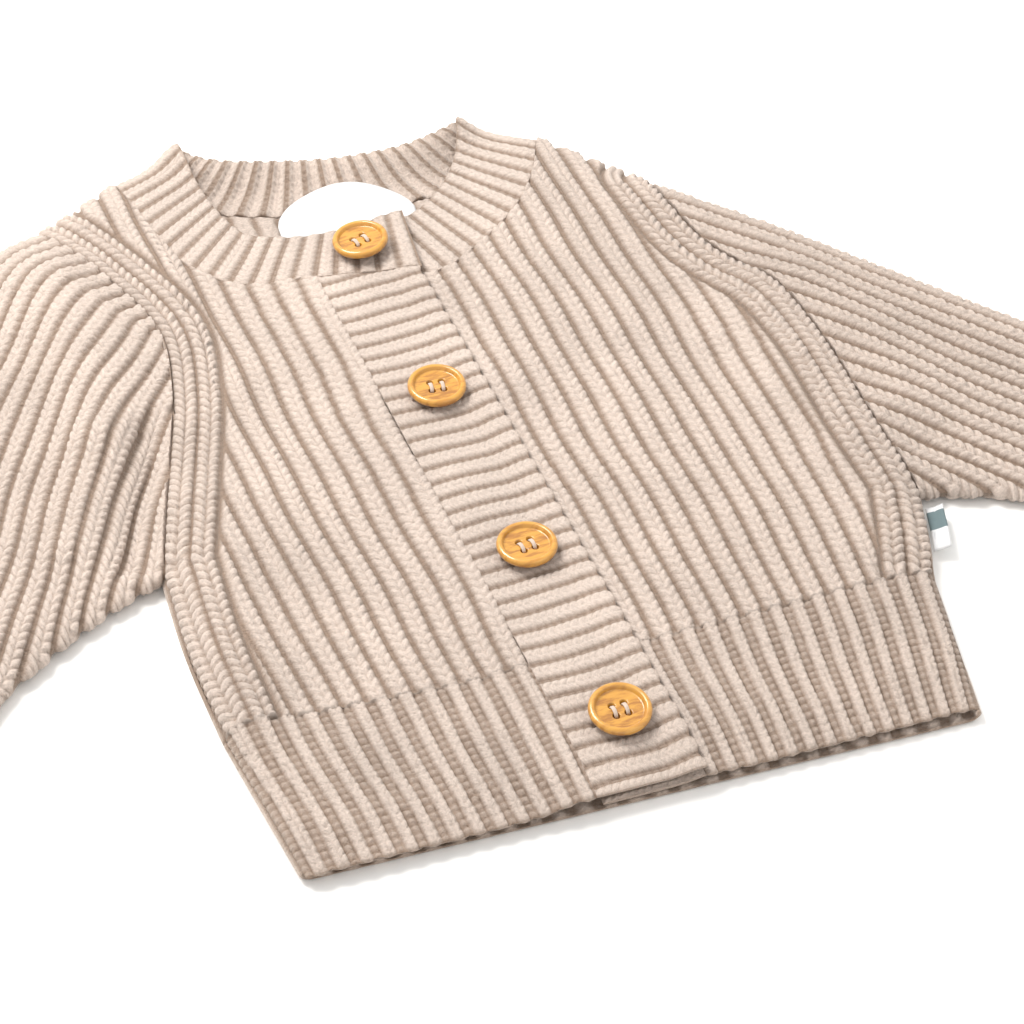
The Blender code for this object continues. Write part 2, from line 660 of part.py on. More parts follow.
def make_side_label():
    """A folded tab standing out of the wearer's left side seam, just below the underarm."""
    root = read_along(side_seam("left"), np.linspace(0.34, 0.86, 4))
    out = np.array([0.94, -0.34])
    start = root + out * (WALL / 2 + GAP + 0.2)
    steps = np.linspace(0, 1, 4)[None, :, None]
    plan = start[:, None] + steps * out * SIDE_LABEL_REACH
    height = np.full(plan.shape[:-1], EDGE_Z - 0.6)
    wall("side_label", sheet(plan, height), LABEL_WHITE, 0.6, thick=SIDE_LABEL_THICK)


def stand_on_origin():
    """Move the garment so that the middle of its box's underside is the origin."""
    bpy.context.view_layer.update()
    parts = [ob for ob in bpy.data.objects if ob.type == "MESH"]
    points = np.array([ob.matrix_world @ v.co for ob in parts for v in ob.data.vertices])
    low, high = points.min(axis=0), points.max(axis=0)
    shift = ((low[0] + high[0]) / 2, (low[1] + high[1]) / 2, low[2])
    for ob in parts:
        ob.location = [place - move for place, move in zip(ob.location, shift)]


def main():
    for ob in list(bpy.data.objects):
        bpy.data.objects.remove(ob, do_unlink=True)
    make_back()
    make_hem_back()
    for side in ("right", "left"):
        make_front(side)
        make_hem_front(side)
        make_sleeve(side)
        make_cuff(side)
    make_buttonhole_band()
    make_button_band()
    make_neckband()
    make_neck_label()
    make_side_label()
    make_buttons()
    stand_on_origin()


main()
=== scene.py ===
# %% [markdown]
# # A baby cardigan in chunky rib knit, buttoned up and laid flat
# The imported model holds every panel as a plain wall.  Here each wall gets its knitting: ribs, stitches,
# rounded edges and yarn.  First the imported model is loaded as a fixed frame.

# %% Load the frame
import json
import math

import bpy
import numpy as np
from mathutils import Matrix, Vector

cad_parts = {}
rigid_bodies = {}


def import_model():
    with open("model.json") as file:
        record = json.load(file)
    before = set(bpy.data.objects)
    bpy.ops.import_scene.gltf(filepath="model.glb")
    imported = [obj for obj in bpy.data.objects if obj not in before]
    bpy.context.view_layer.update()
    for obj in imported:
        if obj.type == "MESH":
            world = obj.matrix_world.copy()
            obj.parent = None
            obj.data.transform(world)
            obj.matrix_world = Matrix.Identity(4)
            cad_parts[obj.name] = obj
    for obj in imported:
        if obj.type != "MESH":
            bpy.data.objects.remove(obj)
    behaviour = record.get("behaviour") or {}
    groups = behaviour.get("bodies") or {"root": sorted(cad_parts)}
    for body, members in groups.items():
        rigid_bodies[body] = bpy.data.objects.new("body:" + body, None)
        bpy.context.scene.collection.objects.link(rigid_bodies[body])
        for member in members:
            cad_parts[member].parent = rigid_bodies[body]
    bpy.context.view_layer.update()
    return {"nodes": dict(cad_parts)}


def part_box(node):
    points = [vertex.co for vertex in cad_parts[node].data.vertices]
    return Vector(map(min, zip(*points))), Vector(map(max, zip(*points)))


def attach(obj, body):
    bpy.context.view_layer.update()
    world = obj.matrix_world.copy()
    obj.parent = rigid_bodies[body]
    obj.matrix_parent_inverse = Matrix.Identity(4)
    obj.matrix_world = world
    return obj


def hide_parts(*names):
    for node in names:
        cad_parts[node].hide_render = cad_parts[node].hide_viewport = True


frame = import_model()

MM = 0.001
print("parts in the frame:", len(frame["nodes"]))

# %% [markdown]
# ## The plan
# A garment is drafted flat, in millimetres.  This plan starts at the foot of the button line: x runs
# to the wearer's left, y from the hem to the neck.  The third button tells where that plan lies in
# the frame.

# %% The plan's place and the laid outline
SIGN = {"right": -1, "left": 1}
OUTLINE = {
    "right": {
        "hem": (-98.5, 7.5), "join": (-103, 62), "waist": (-103, 95), "underarm": (-100, 129),
        "armhole": [(-87, 165), (-75, 200), (-70, 231), (-79, 262)],
        "shoulder": (-92, 292), "neck": (-61, 309), "peak": (-37, 316),
        "sleeve_under": [(-117, 123), (-137, 113)], "cuff_under": (-156, 101),
        "sleeve_over": [(-114, 281), (-155, 226)], "cuff_over": (-204, 141),
    },
    "left": {
        "hem": (98, -2), "join": (109.5, 49), "waist": (115.5, 64), "underarm": (121.5, 82),
        "armhole": [(121.5, 112), (123, 148), (120.5, 181), (108, 212)],
        "shoulder": (104.5, 248), "neck": (79, 283), "peak": (56, 298),
        "sleeve_under": [(135, 78), (153, 69)], "cuff_under": (174, 51),
        "sleeve_over": [(139, 205), (188, 140)], "cuff_over": (223, 96),
    },
}
NECKBAND = [
    ("over", (17.0, 227.0), (21.0, 256.5)),
    ("over", (-3.0, 232.5), (-1.0, 255.5)),
    ("over", (-22.0, 236.5), (-17.0, 257.0)),
    ("over", (-40.0, 243.5), (-28.5, 264.5)),
    ("over", (-52.0, 258.0), (-33.5, 277.0)),
    ("over", (-57.5, 280.0), (-36.0, 295.0)),
    ("fold", OUTLINE["right"]["neck"], OUTLINE["right"]["peak"]),
    ("back", (-45.0, 296.0), (-27.5, 307.0)),
    ("back", (-26.0, 283.0), (-13.0, 300.5)),
    ("back", (8.0, 272.0), (8.5, 294.0)),
    ("back", (43.0, 270.5), (31.0, 292.0)),
    ("back", (63.0, 275.0), (45.5, 294.5)),
    ("fold", OUTLINE["left"]["neck"], OUTLINE["left"]["peak"]),
    ("under", (70.5, 265.0), (50.0, 283.0)),
    ("under", (59.0, 250.0), (41.0, 270.0)),
    ("under", (41.0, 236.5), (30.0, 260.5)),
    ("under", (20.0, 226.5), (19.0, 256.5)),
    ("under", (-12.0, 235.0), (-10.5, 255.5)),
]
BAND_HALF = 16.0
BUTTONS = [
    {"name": "button_1", "at": (2.0, 243.0), "roll": -5.0, "pitch": -3.0, "turn": 12.0},
    {"name": "button_2", "at": (0.0, 169.0), "roll": 0.0, "pitch": 1.0, "turn": -8.0},
    {"name": "button_3", "at": (0.0, 95.0), "roll": 0.0, "pitch": 0.0, "turn": 5.0},
    {"name": "button_4", "at": (0.0, 26.0), "roll": 0.0, "pitch": 5.0, "turn": 0.0},
]
low, high = (np.array(corner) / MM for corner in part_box("button_3"))
PLAN_PLACE = np.array([*((low + high) / 2)[:2] - BUTTONS[2]["at"], 0.0])
print("plan starts at", np.round(PLAN_PLACE, 2), "mm")

# %% [markdown]
# ## The camera
# A camera looks down on the laid garment from the wearer's right of the hem, 44 degrees above the
# surface, and 0.99 m away with a long lens, as a product picture is taken.

# %% The camera
LOOK_AT = np.array([6.6, 122.9, 0.0])
LOOK_DISTANCE, LOOK_TURN, LOOK_HEIGHT, LOOK_ROLL = 990.0, -22.4, 44.0, 1.0
LENS = 116.0


def add_camera():
    """Camera on a ball round the target: back = (sin a cos e, -cos a cos e, sin e)."""
    a, e = math.radians(LOOK_TURN), math.radians(LOOK_HEIGHT)
    back = np.array([math.sin(a) * math.cos(e), -math.cos(a) * math.cos(e), math.sin(e)])
    data = bpy.data.cameras.new("camera")
    data.lens, data.sensor_width = LENS, 36.0
    data.clip_start, data.clip_end = 0.05, 30.0
    data.dof.use_dof = False
    made = bpy.data.objects.new("camera", data)
    turn = Matrix.Rotation(a, 4, "Z") @ Matrix.Rotation(math.pi / 2 - e, 4, "X")
    made.matrix_world = turn @ Matrix.Rotation(math.radians(LOOK_ROLL), 4, "Z")
    made.location = (LOOK_AT + PLAN_PLACE + LOOK_DISTANCE * back) * MM
    bpy.context.scene.collection.objects.link(made)
    bpy.context.scene.camera = made


add_camera()
print("camera at", np.round(bpy.context.scene.camera.location, 3))

# %% [markdown]
# ## Curves, patches and distances
# Seams are smooth curves through a few drafted points.  A panel is the patch between four of them.
# Distances from a curve tell how far in from a fold a point lies, and which rib it is on.

# %% Curves


def smooth(points, count=48):
    """Catmull-Rom curve through the points, read at equal steps of length."""
    p = np.array(points, dtype=float)
    p = np.vstack([2 * p[0] - p[1], p, 2 * p[-1] - p[-2]])
    t = np.linspace(0, 1, 17)[:, None]
    spans = []
    for a, b, c, d in zip(p[:-3], p[1:-2], p[2:-1], p[3:]):
        bend = 2 * a - 5 * b + 4 * c - d
        turn = 3 * b - a - 3 * c + d
        spans.append(0.5 * (2 * b + (c - a) * t + bend * t ** 2 + turn * t ** 3))
    return read_along(np.vstack([spans[0][:1]] + [span[1:] for span in spans]), np.linspace(0, 1, count))


def lengths(line):
    """Length along a polyline at each of its points."""
    return np.concatenate([[0], np.cumsum(np.linalg.norm(np.diff(line, axis=0), axis=1))])


def read_along(line, where):
    """Points of a polyline at the given shares of its length."""
    along = lengths(line) / lengths(line)[-1]
    return np.stack([np.interp(where, along, line[:, k]) for k in range(line.shape[1])], axis=-1)


def chain(*parts):
    """One curve made of several, each given its share of the run from 0 to 1."""
    places, points, start = [], [], 0.0
    for share, part in parts:
        places.append(np.linspace(start, start + share, len(part)))
        points.append(np.asarray(part, dtype=float))
        start += share
    places, points = np.concatenate(places), np.vstack(points)
    return lambda t: np.stack([np.interp(t, places, points[:, k]) for k in range(2)], axis=-1)


def line(*points):
    """Straight run through the points, as a curve of its share."""
    return chain((1, points))


def coons(low, high, start, end, s, t, hold=1):
    """Patch between four curves: low and high along s, plus the bow of start and end along t."""
    a, b = s[..., None], t[..., None]
    zero, one = np.zeros(1), np.ones(1)
    first = start(t) - (1 - b) * start(zero) - b * start(one)
    last = end(t) - (1 - b) * end(zero) - b * end(one)
    return (1 - b) * low(s) + b * high(s) + (1 - a) ** hold * first + a ** hold * last


def nearest(plan, curve):
    """Distance from each point to a polyline, and how far along the polyline its foot is."""
    best, place = np.full(plan.shape[:-1], np.inf), np.zeros(plan.shape[:-1])
    for p, q, start in zip(curve[:-1], curve[1:], lengths(curve)):
        run = q - p
        share = np.clip(((plan - p) @ run) / max(run @ run, 1e-9), 0, 1)
        away = np.linalg.norm(plan - p - share[..., None] * run, axis=-1)
        place = np.where(away < best, start + share * np.linalg.norm(run), place)
        best = np.minimum(best, away)
    return best, place


def ease(value, start, end):
    """0 before start, 1 after end, with a soft change between them."""
    t = np.clip((value - start) / (end - start), 0, 1)
    return t * t * (3 - 2 * t)


def side_seam(side):
    """From the hem rib up to the underarm."""
    o = OUTLINE[side]
    return smooth([o["join"], o["waist"], o["underarm"]], 12)


def armhole(side):
    """From the underarm round to the shoulder."""
    o = OUTLINE[side]
    return smooth([o["underarm"], *o["armhole"], o["shoulder"]], 40)


def sleeve_under(side):
    """Lower fold of a sleeve, from the underarm to the cuff."""
    o = OUTLINE[side]
    return smooth([o["underarm"], *o["sleeve_under"], o["cuff_under"]], 16)


def sleeve_over(side):
    """Upper fold of a sleeve, from the shoulder to the cuff."""
    o = OUTLINE[side]
    return smooth([o["shoulder"], *o["sleeve_over"], o["cuff_over"]], 16)


def cuff_frame(side):
    """Ends of the line where a cuff rib is knitted on, and the way the cuff runs from it."""
    under, over = np.array(OUTLINE[side]["cuff_under"], float), np.array(OUTLINE[side]["cuff_over"], float)
    across = (over - under) / np.linalg.norm(over - under)
    return under, over, across, -SIGN[side] * np.array([-across[1], across[0]])


print("armholes:", [round(float(lengths(armhole(side))[-1])) for side in SIGN], "mm")

# %% [markdown]
# ## How the layers lie
# The back lies flat on the surface and turns up at its folded edges; the front lies on it and rolls down to
# meet it.  Swells and creases are laid in where the knit is pushed up: at the side rolls, the sleeve caps and
# under the arms.  The bands lap, and the neckband's back half stands up.

# %% Heights of the layers
CUFF_LENGTH, CUFF_DRAW, CUFF_LEVEL = 40.0, 3.0, 8.0
EDGE_Z, BACK_Z = 4.0, 1.5
FRONT_ROLL, BACK_TURN = 15.0, 2.6
NECK_STAND, NECK_STAND_WIDTH = 6.5, 9.0
FRONT_LEVELS = {"y": (0, 30, 62, 100, 190, 250, 310), "z": (7.2, 7.5, 8.2, 8.4, 8.4, 8.2, 8.0)}
HEM_DROP, HEM_REACH = 2.2, 18.0      # how far the front settles at the hem, and how far up
FRONT_LEAST = 4.5                    # least height of the front layer, clear of the back layer
LAP_OVER, LAP_EDGE, LAP_UNDER = 2.1, 1.4, 1.3    # rise of the upper band, its edge's, lower's sink
BAND_JOIN = (53, 52)                 # where the hem rib joins the body at the right and left bands
SWELLS = [
    {"name": "right side roll", "from": (-99, 64), "to": (-86, 150), "half": 12.0, "height": 3.2},
    {"name": "left side roll", "from": (112, 62), "to": (111, 150), "half": 11.0, "height": 1.6},
    {"name": "right sleeve cap", "from": (-96, 262), "to": (-98, 192), "half": 16.0, "height": 5.0},
    {"name": "left sleeve cap", "from": (129, 178), "to": (139, 120), "half": 15.0, "height": 2.4},
    {"name": "right underarm crease", "from": (-84, 190), "to": (-102, 132), "half": 4.0, "height": -2.6},
    {"name": "right underarm pocket", "from": (-90, 184), "to": (-109, 134), "half": 4.5, "height": -3.6},
    {"name": "right underarm roll", "from": (-104, 184), "to": (-122, 146), "half": 9.0, "height": 4.2},
    {"name": "left underarm crease", "from": (129, 96), "to": (146, 80), "half": 6.0, "height": -1.4},
    {"name": "left chest hollow", "from": (58, 225), "to": (92, 120), "half": 16.0, "height": -1.3},
    {"name": "left armhole ridge", "from": (113, 185), "to": (112, 110), "half": 7.0, "height": 1.3},
    {"name": "right chest swell", "from": (-52, 200), "to": (-60, 90), "half": 20.0, "height": 0.8},
    {"name": "right waist dip", "from": (-74, 120), "to": (-80, 66), "half": 6.0, "height": -1.0},
]


def folded_edges():
    """Side seam with the sleeve's under edge, and shoulder with its upper edge, on both sides."""
    folds = []
    for side in SIGN:
        o = {place: np.array(point, dtype=float) for place, point in OUTLINE[side].items()}
        under, over, across, run = cuff_frame(side)
        far, draw = 2 * run * CUFF_LENGTH, 2 * across * CUFF_DRAW
        past_hem = 2 * o["hem"] - o["join"]
        folds.append(np.vstack([past_hem, side_seam(side), sleeve_under(side), under + far + draw]))
        folds.append(np.vstack([o["peak"], o["neck"], sleeve_over(side), over + far - draw]))
    return folds


FOLDS = folded_edges()


def fold_distance(plan):
    """Distance from the nearest folded edge."""
    return np.min([nearest(plan, fold)[0] for fold in FOLDS], axis=0)


def rumple(plan):
    """Slight unevenness of knit that was laid down by hand, in millimetres: four crossing waves."""
    x, y = plan[..., 0], plan[..., 1]
    slow = np.sin(x / 17.0 + y / 31.0 + 1.3) + np.sin(y / 23.0 - x / 41.0 + 0.4)
    return 0.16 * slow + 0.09 * (np.sin(x / 7.3 - y / 12.1) + np.sin(y / 9.7 + x / 14.9 + 2.0))


def join_y(x):
    """Where the hem rib joins the body, across the garment."""
    right, left = OUTLINE["right"]["join"], OUTLINE["left"]["join"]
    return np.interp(x, (right[0], -BAND_HALF, BAND_HALF, left[0]), (right[1], *BAND_JOIN, left[1]))


def hem_y(x):
    """Where the front hem ends, across the garment: a straight line between its corners."""
    right, left = OUTLINE["right"]["hem"], OUTLINE["left"]["hem"]
    return np.interp(x, (right[0], left[0]), (right[1], left[1]))


def body_level(plan):
    """Level of the front layer: drafted heights, less a drop at the hem, where the edge settles."""
    x, y = plan[..., 0], plan[..., 1]
    settle = 1 - ease(y - hem_y(x), -2, HEM_REACH)
    return np.interp(y, FRONT_LEVELS["y"], FRONT_LEVELS["z"]) - HEM_DROP * settle


def front_height(plan, level):
    """Front layer: low + (level + swells - low) * quarter round of the distance in from the folds."""
    inward = np.clip(fold_distance(plan) / FRONT_ROLL, 0, 1)
    height = level + rumple(plan)
    for swell in SWELLS:
        away = nearest(plan, np.array([swell["from"], swell["to"]], dtype=float))[0]
        height = height + swell["height"] * np.exp(-(away / swell["half"]) ** 2)
    height = np.maximum(height, FRONT_LEAST)
    return EDGE_Z + (height - EDGE_Z) * np.sqrt(1 - (1 - inward) ** 2)


def back_height(plan):
    """Back layer: flat, with a quarter-round turn up at the folds."""
    inward = np.clip(fold_distance(plan) / BACK_TURN, 0, 1)
    return BACK_Z + (EDGE_Z - BACK_Z) * (1 - np.sqrt(1 - (1 - inward) ** 2))


def lap_over(x):
    """Rise of the pieces on the right front where they lap over the left."""
    return LAP_OVER * ease(x, -34, -20) + LAP_EDGE * ease(x, 5, 14)


def lap_under(x):
    """Sink of the pieces on the left front where they lie below the right."""
    return -LAP_UNDER * ease(-x, -BAND_HALF, -8)


print("folded edges:", [round(float(lengths(fold)[-1])) for fold in FOLDS], "mm")

# %% [markdown]
# ## Stitches
# Knitting is columns of V-shaped loops.  A rib stands up where the V's face out and sinks where their
# backs do.  Here u counts ribs across and v counts rows up, so one function draws any rib: the two
# legs of each V are round, slanted grains on a fat crest, and the furrow shows small purl bumps.
# A seeded table makes no two stitches quite the same.

# %% The height of the knit
UNEVEN = np.random.default_rng(7).normal(0, 1, (64, 512))   # a number for each rib and stitch
GRAIN_SHARE = 0.46        # how much of a crest's height is in its grains
ROW = 3.3                 # height of one row of body stitches
SLANT = 0.8               # rise of a leg across half a rib, in rows


def knit(u, v, half=0.41, purl=0.16, bead=0.0):
    """Height of the knit, 0 in a furrow and 1 on a crest.

    With a = |distance from the rib's middle| / half and g = GRAIN_SHARE + bead:
    crest = (1 - g) sqrt(1 - a^2) + g leg grain, leg = sqrt(1 - (2a - 1)^2),
    grain = |sin(pi (v - SLANT a))|^0.6.  Outside it, the furrow has bumps of height purl.
    """
    rib = np.floor(u).astype(int)
    off = np.abs(u - rib - 0.5)
    a = off / half
    phase = v - SLANT * np.minimum(a, 1.2)
    here = UNEVEN[rib % 64, np.floor(phase).astype(int) % 512]
    leg = np.sqrt(np.clip(1 - (2 * a - 1) ** 2, 0, 1))
    grain = np.abs(np.sin(math.pi * phase)) ** 0.6
    share = GRAIN_SHARE + bead
    crest = (1 - share) * np.sqrt(np.clip(1 - a ** 2, 0, 1)) + share * leg * grain * (1 + 0.10 * here)
    deep = np.clip((off - half) / (0.5 - half), 0, 1)
    bump = purl * np.abs(np.sin(math.pi * (v + 0.3))) ** 0.6 * np.sqrt(deep)
    return np.where(a < 1, np.maximum(crest, 0.04 * grain), bump)


def wander(plan):
    """The plan with its ribs and rows drifting by about a millimetre at most: two waves each way."""
    x, y = plan[..., 0], plan[..., 1]
    drift_x = 0.5 * np.sin(y / 19.0 + x / 60.0) + 0.3 * np.sin(y / 7.9 + x / 15.0 + 1.0)
    drift_y = 0.7 * np.sin(x / 13.0 + 0.5) + 0.4 * np.sin(x / 5.1 + y / 40.0)
    return np.stack([x + drift_x, y + drift_y], axis=-1)


print("a crest and a furrow:", np.round(knit(np.array([0.5, 0.3, 0.0]), np.full(3, 0.8)), 2))

# %% [markdown]
# ## A knitted wall
# Each piece is one closed shell.  Its face is a fine grid, pushed out along its normals by the
# stitches; its inside is a coarser grid, and strips of triangles close the rims.  First come the
# layer's own points and normals, and the share of the wall that is left towards each edge: it is
# rounded off at a free edge, less at a seam, and not at all where the knit goes on.

# %% Layers and rims
CREST, FURROW, INNER = 2.05, -0.35, 1.2     # millimetres out to a crest, a furrow and the inside
PRESSED = 0.62                              # share of the relief left on the back and the lower layers
SEAM_ROUND, SEAM_LEAST = 1.2, 0.88          # rounding radius of a rim; share of the wall kept at an armhole


def surface(plan, height, lift=0.0):
    """Points of a layer and unit normals that point up, or level along the folds."""
    mid = np.concatenate([plan, (height + lift)[..., None]], axis=-1)
    normal = np.cross(np.gradient(mid, axis=1), np.gradient(mid, axis=0))
    normal *= np.sign(normal[..., 2].sum())
    normal[np.abs(height - EDGE_Z) < 0.02, 2] = 0
    return mid, normal / np.maximum(np.linalg.norm(normal, axis=-1, keepdims=True), 1e-9)


def rim(mid, radius=1.5, least=0.3, edges=("first_row", "last_row", "first_column", "last_column")):
    """Share of the wall kept towards the named edges: a quarter round of the distance in."""
    keep = np.ones(mid.shape[:2])
    for edge in edges:
        axis = 0 if "row" in edge else 1
        steps = np.linalg.norm(np.diff(mid, axis=axis), axis=-1)
        start = np.zeros_like(np.take(steps, [0], axis=axis))
        along = np.concatenate([start, np.cumsum(steps, axis=axis)], axis=axis)
        if edge.startswith("last"):
            along = np.take(along, [-1], axis=axis) - along
        share = np.clip(along / radius, 0, 1)
        keep = np.minimum(keep, least + (1 - least) * np.sqrt(1 - (1 - share) ** 2))
    return keep


print("a rim keeps", np.round(rim(np.indices((2, 4)).transpose(1, 2, 0), edges=("first_column",))[0], 2))

# %% [markdown]
# ### Meshes from arrays
# The cells of a grid become four-sided faces, and a strip of triangles joins a fine rim to a coarse
# one.  Their numbers go into the mesh as whole arrays.  A closed mesh has a signed volume, which
# tells whether its faces point outwards.

# %% Faces, strips and volume


def strip(fine, coarse, places, flip):
    """Triangles between a fine rim and a coarse one that touches it at the given places."""
    owner = coarse[np.searchsorted(places, np.arange(len(fine) - 1), side="right") - 1]
    first = np.stack([fine[1:], fine[:-1], owner], axis=1)
    second = np.stack([coarse[:-1], coarse[1:], fine[places[1:]]], axis=1)
    both = np.vstack([first, second])
    return both[:, ::-1] if flip else both


def quads(grid, ring):
    """A grid's cells as four-sided faces, closed to a ring if it is one."""
    after = np.roll(grid, -1, axis=1) if ring else grid[:, 1:]
    count = after.shape[1]
    here = grid[:, :count]
    return np.stack([here[:-1], after[:-1], after[1:], here[1:]], axis=-1).reshape(-1, 4)


def fill_mesh(mesh, points, fours, threes):
    """Vertices, loops and polygons straight from arrays."""
    loops = np.concatenate([fours.ravel(), threes.ravel()])
    starts = np.concatenate([np.arange(len(fours)) * 4, 4 * len(fours) + np.arange(len(threes)) * 3])
    mesh.vertices.add(len(points))
    mesh.vertices.foreach_set("co", (points * MM).ravel())
    mesh.loops.add(len(loops))
    mesh.loops.foreach_set("vertex_index", loops.astype(np.int32))
    mesh.polygons.add(len(starts))
    mesh.polygons.foreach_set("loop_start", starts.astype(np.int32))
    mesh.update(calc_edges=True)
    mesh.polygons.foreach_set("use_smooth", np.ones(len(starts), dtype=bool))
    return loops


def volume(points, fours, threes):
    """Signed volume of a closed mesh: the sum of a . (b x c) / 6 over its triangles."""
    tris = np.vstack([fours[:, [0, 1, 2]], fours[:, [0, 2, 3]], threes])
    a, b, c = (points[tris[:, k]] for k in range(3))
    return np.einsum("ij,ij->i", a, np.cross(b, c)).sum() / 6


print("cells of a ring of 3 by 4 points:", len(quads(np.arange(12).reshape(3, 4), True)))

# %% [markdown]
# ### The closed shell
# The shell puts both grids and the strips together.  Its UV map holds ribs and rows, and an
# attribute holds how high on the rib a point is, for the yarn's shading.  A rim that keeps more than
# JOIN_SHARE of the wall lies against the next piece.  Its edges are marked sharp, so that the rim's
# own normals don't darken the face beside it.

# %% Shells and knitted pieces


def sharpen(mesh, rims):
    """Marks the edges along the rims that are joins as sharp."""
    ends = np.empty(2 * len(mesh.edges), dtype=np.int32)
    mesh.edges.foreach_get("vertices", ends)
    ends = ends.reshape(-1, 2)
    sharp = np.zeros(len(ends), dtype=bool)
    for points in rims:
        sharp |= np.isin(ends, points).all(axis=1)
    mesh.attributes.new("sharp_edge", "BOOLEAN", "EDGE").data.foreach_set("value", sharp)


def shell(name, outer, inner, rows, columns, uv, relief, material, ring=False, joins=()):
    """Closed shell of a fine outer grid and a coarse inner one that holds its given rows and columns."""
    fine = np.arange(outer.shape[0] * outer.shape[1]).reshape(outer.shape[:2])
    coarse = fine.size + np.arange(len(rows) * len(columns)).reshape(len(rows), len(columns))
    points = np.concatenate([outer.reshape(-1, 3), inner.reshape(-1, 3)]) + PLAN_PLACE
    fours = np.vstack([quads(fine, ring), quads(coarse, ring)[:, ::-1]])
    threes = []
    for edge, flip in ((0, False), (-1, True)):
        line_f, line_c, places = fine[edge], coarse[edge], columns
        if ring:
            line_f, line_c = np.append(line_f, line_f[0]), np.append(line_c, line_c[0])
            places = np.append(columns, outer.shape[1])
        threes.append(strip(line_f, line_c, places, flip))
    if not ring:
        threes.append(strip(fine[:, 0], coarse[:, 0], rows, True))
        threes.append(strip(fine[:, -1], coarse[:, -1], rows, False))
    threes = np.vstack(threes)
    if volume(points, fours, threes) < 0:
        fours, threes = fours[:, ::-1], threes[:, ::-1]
    mesh = bpy.data.meshes.new(name)
    loops = fill_mesh(mesh, points, fours, threes)
    sharpen(mesh, [fine[place] for place in joins])
    pick = np.ix_(rows, columns)
    at = np.concatenate([uv.reshape(-1, 2), uv[pick].reshape(-1, 2)])
    mesh.uv_layers.new(name="ribs_and_rows").uv.foreach_set("vector", at[loops].ravel())
    high = np.concatenate([relief.ravel(), relief[pick].ravel()])
    mesh.attributes.new("relief", "FLOAT", "POINT").data.foreach_set("value", high)
    mesh.materials.append(material)
    made = bpy.data.objects.new(name, mesh)
    bpy.context.scene.collection.objects.link(made)
    print(f"{name}: {2 * len(fours) + len(threes)} triangles, {volume(points, fours, threes) / 1000:.1f} cm3")
    return made


def every(count, step):
    """Every step-th index of a run, with its last."""
    return np.unique(np.append(np.arange(0, count, step), count - 1))


JOIN_SHARE = 0.8          # a rim that keeps more of the wall than this is a join


def area(mid):
    """Area of a layer's middle surface in square metres: its quads as pairs of triangles."""
    a, b, c, d = mid[:-1, :-1], mid[:-1, 1:], mid[1:, 1:], mid[1:, :-1]
    halves = [np.linalg.norm(np.cross(p - a, q - a), axis=-1) for p, q in ((b, c), (c, d))]
    return float(np.sum(halves) / 2 * MM * MM)


def knitted(name, mid, normal, u, v, height, keep, depth=1.0, step=(6, 5),
            back=(INNER, 0.0, 0.0), ring=False):
    """A knitted piece: face = mid + normal (FURROW + rise), back = mid - normal (base + rise).

    back gives the base, the rise and the back's own heights; both faces thin towards the rims.
    """
    push = (FURROW + (CREST - FURROW) * height * depth) * keep
    rows = every(mid.shape[0], step[0])
    columns = np.arange(0, mid.shape[1], step[1]) if ring else every(mid.shape[1], step[1])
    pick = np.ix_(rows, columns)
    base, rise, behind = back
    pull = ((base + rise * (behind + 0 * height)) * keep)[pick][..., None]
    outer = mid + normal * push[..., None]
    inner = mid[pick] - normal[pick] * pull
    uv = np.stack([u, v], axis=-1)
    edges = ((0,), (-1,), (slice(None), 0), (slice(None), -1))
    joins = [place for place in edges if np.mean(keep[place]) > JOIN_SHARE]
    made = shell(name, outer, inner, rows, columns, uv, height * keep, KNIT, ring, joins)
    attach(made, "root")
    return made


square = np.array([[[0, 0, 0], [10, 0, 0]], [[0, 10, 0], [10, 10, 0]]])
print("a square of 10 by 10 mm measures", area(square), "m2")

# %% [markdown]
# ## Yarn
# The yarn is a soft, matt oatmeal spun yarn with a little fuzz.  Its plies run along the legs of the
# stitches, so their pattern follows the UV map of ribs and rows.  The colour carries painted shade: it is
# darkened towards the furrows, for the light lost between fibres there, and pales on the crests, and a sheen
# stands for the fuzz.
# The plies are a shader node group, which the knit uses.

# %% The yarn's node group and material
CREST_COLOUR = (0.59, 0.492, 0.427, 1.0)
# painted shade: the furrow colour is the yarn as it looks in the shade of a furrow, mixed in by the relief
# attribute
PAINTED_FURROW_SHADE = (0.275, 0.198, 0.148, 1.0)


def link(tree, start, end):
    """Wire from one socket to another."""
    tree.links.new(start, end)


def math_node(tree, operation, first, second=None):
    """Output of a Math node on numbers or sockets."""
    made = tree.nodes.new("ShaderNodeMath")
    made.operation = operation
    for socket, value in zip(made.inputs, (first, second)):
        if value is None:
            continue
        if isinstance(value, (int, float)):
            socket.default_value = value
        else:
            link(tree, value, socket)
    return made.outputs[0]


def noise(tree, vector, scale, detail=2.0, rough=0.5):
    """Noise from 0 to 1 at a scale."""
    made = tree.nodes.new("ShaderNodeTexNoise")
    made.inputs["Scale"].default_value = scale
    made.inputs["Detail"].default_value = detail
    made.inputs["Roughness"].default_value = rough
    link(tree, vector, made.inputs["Vector"])
    return made.outputs["Fac"]


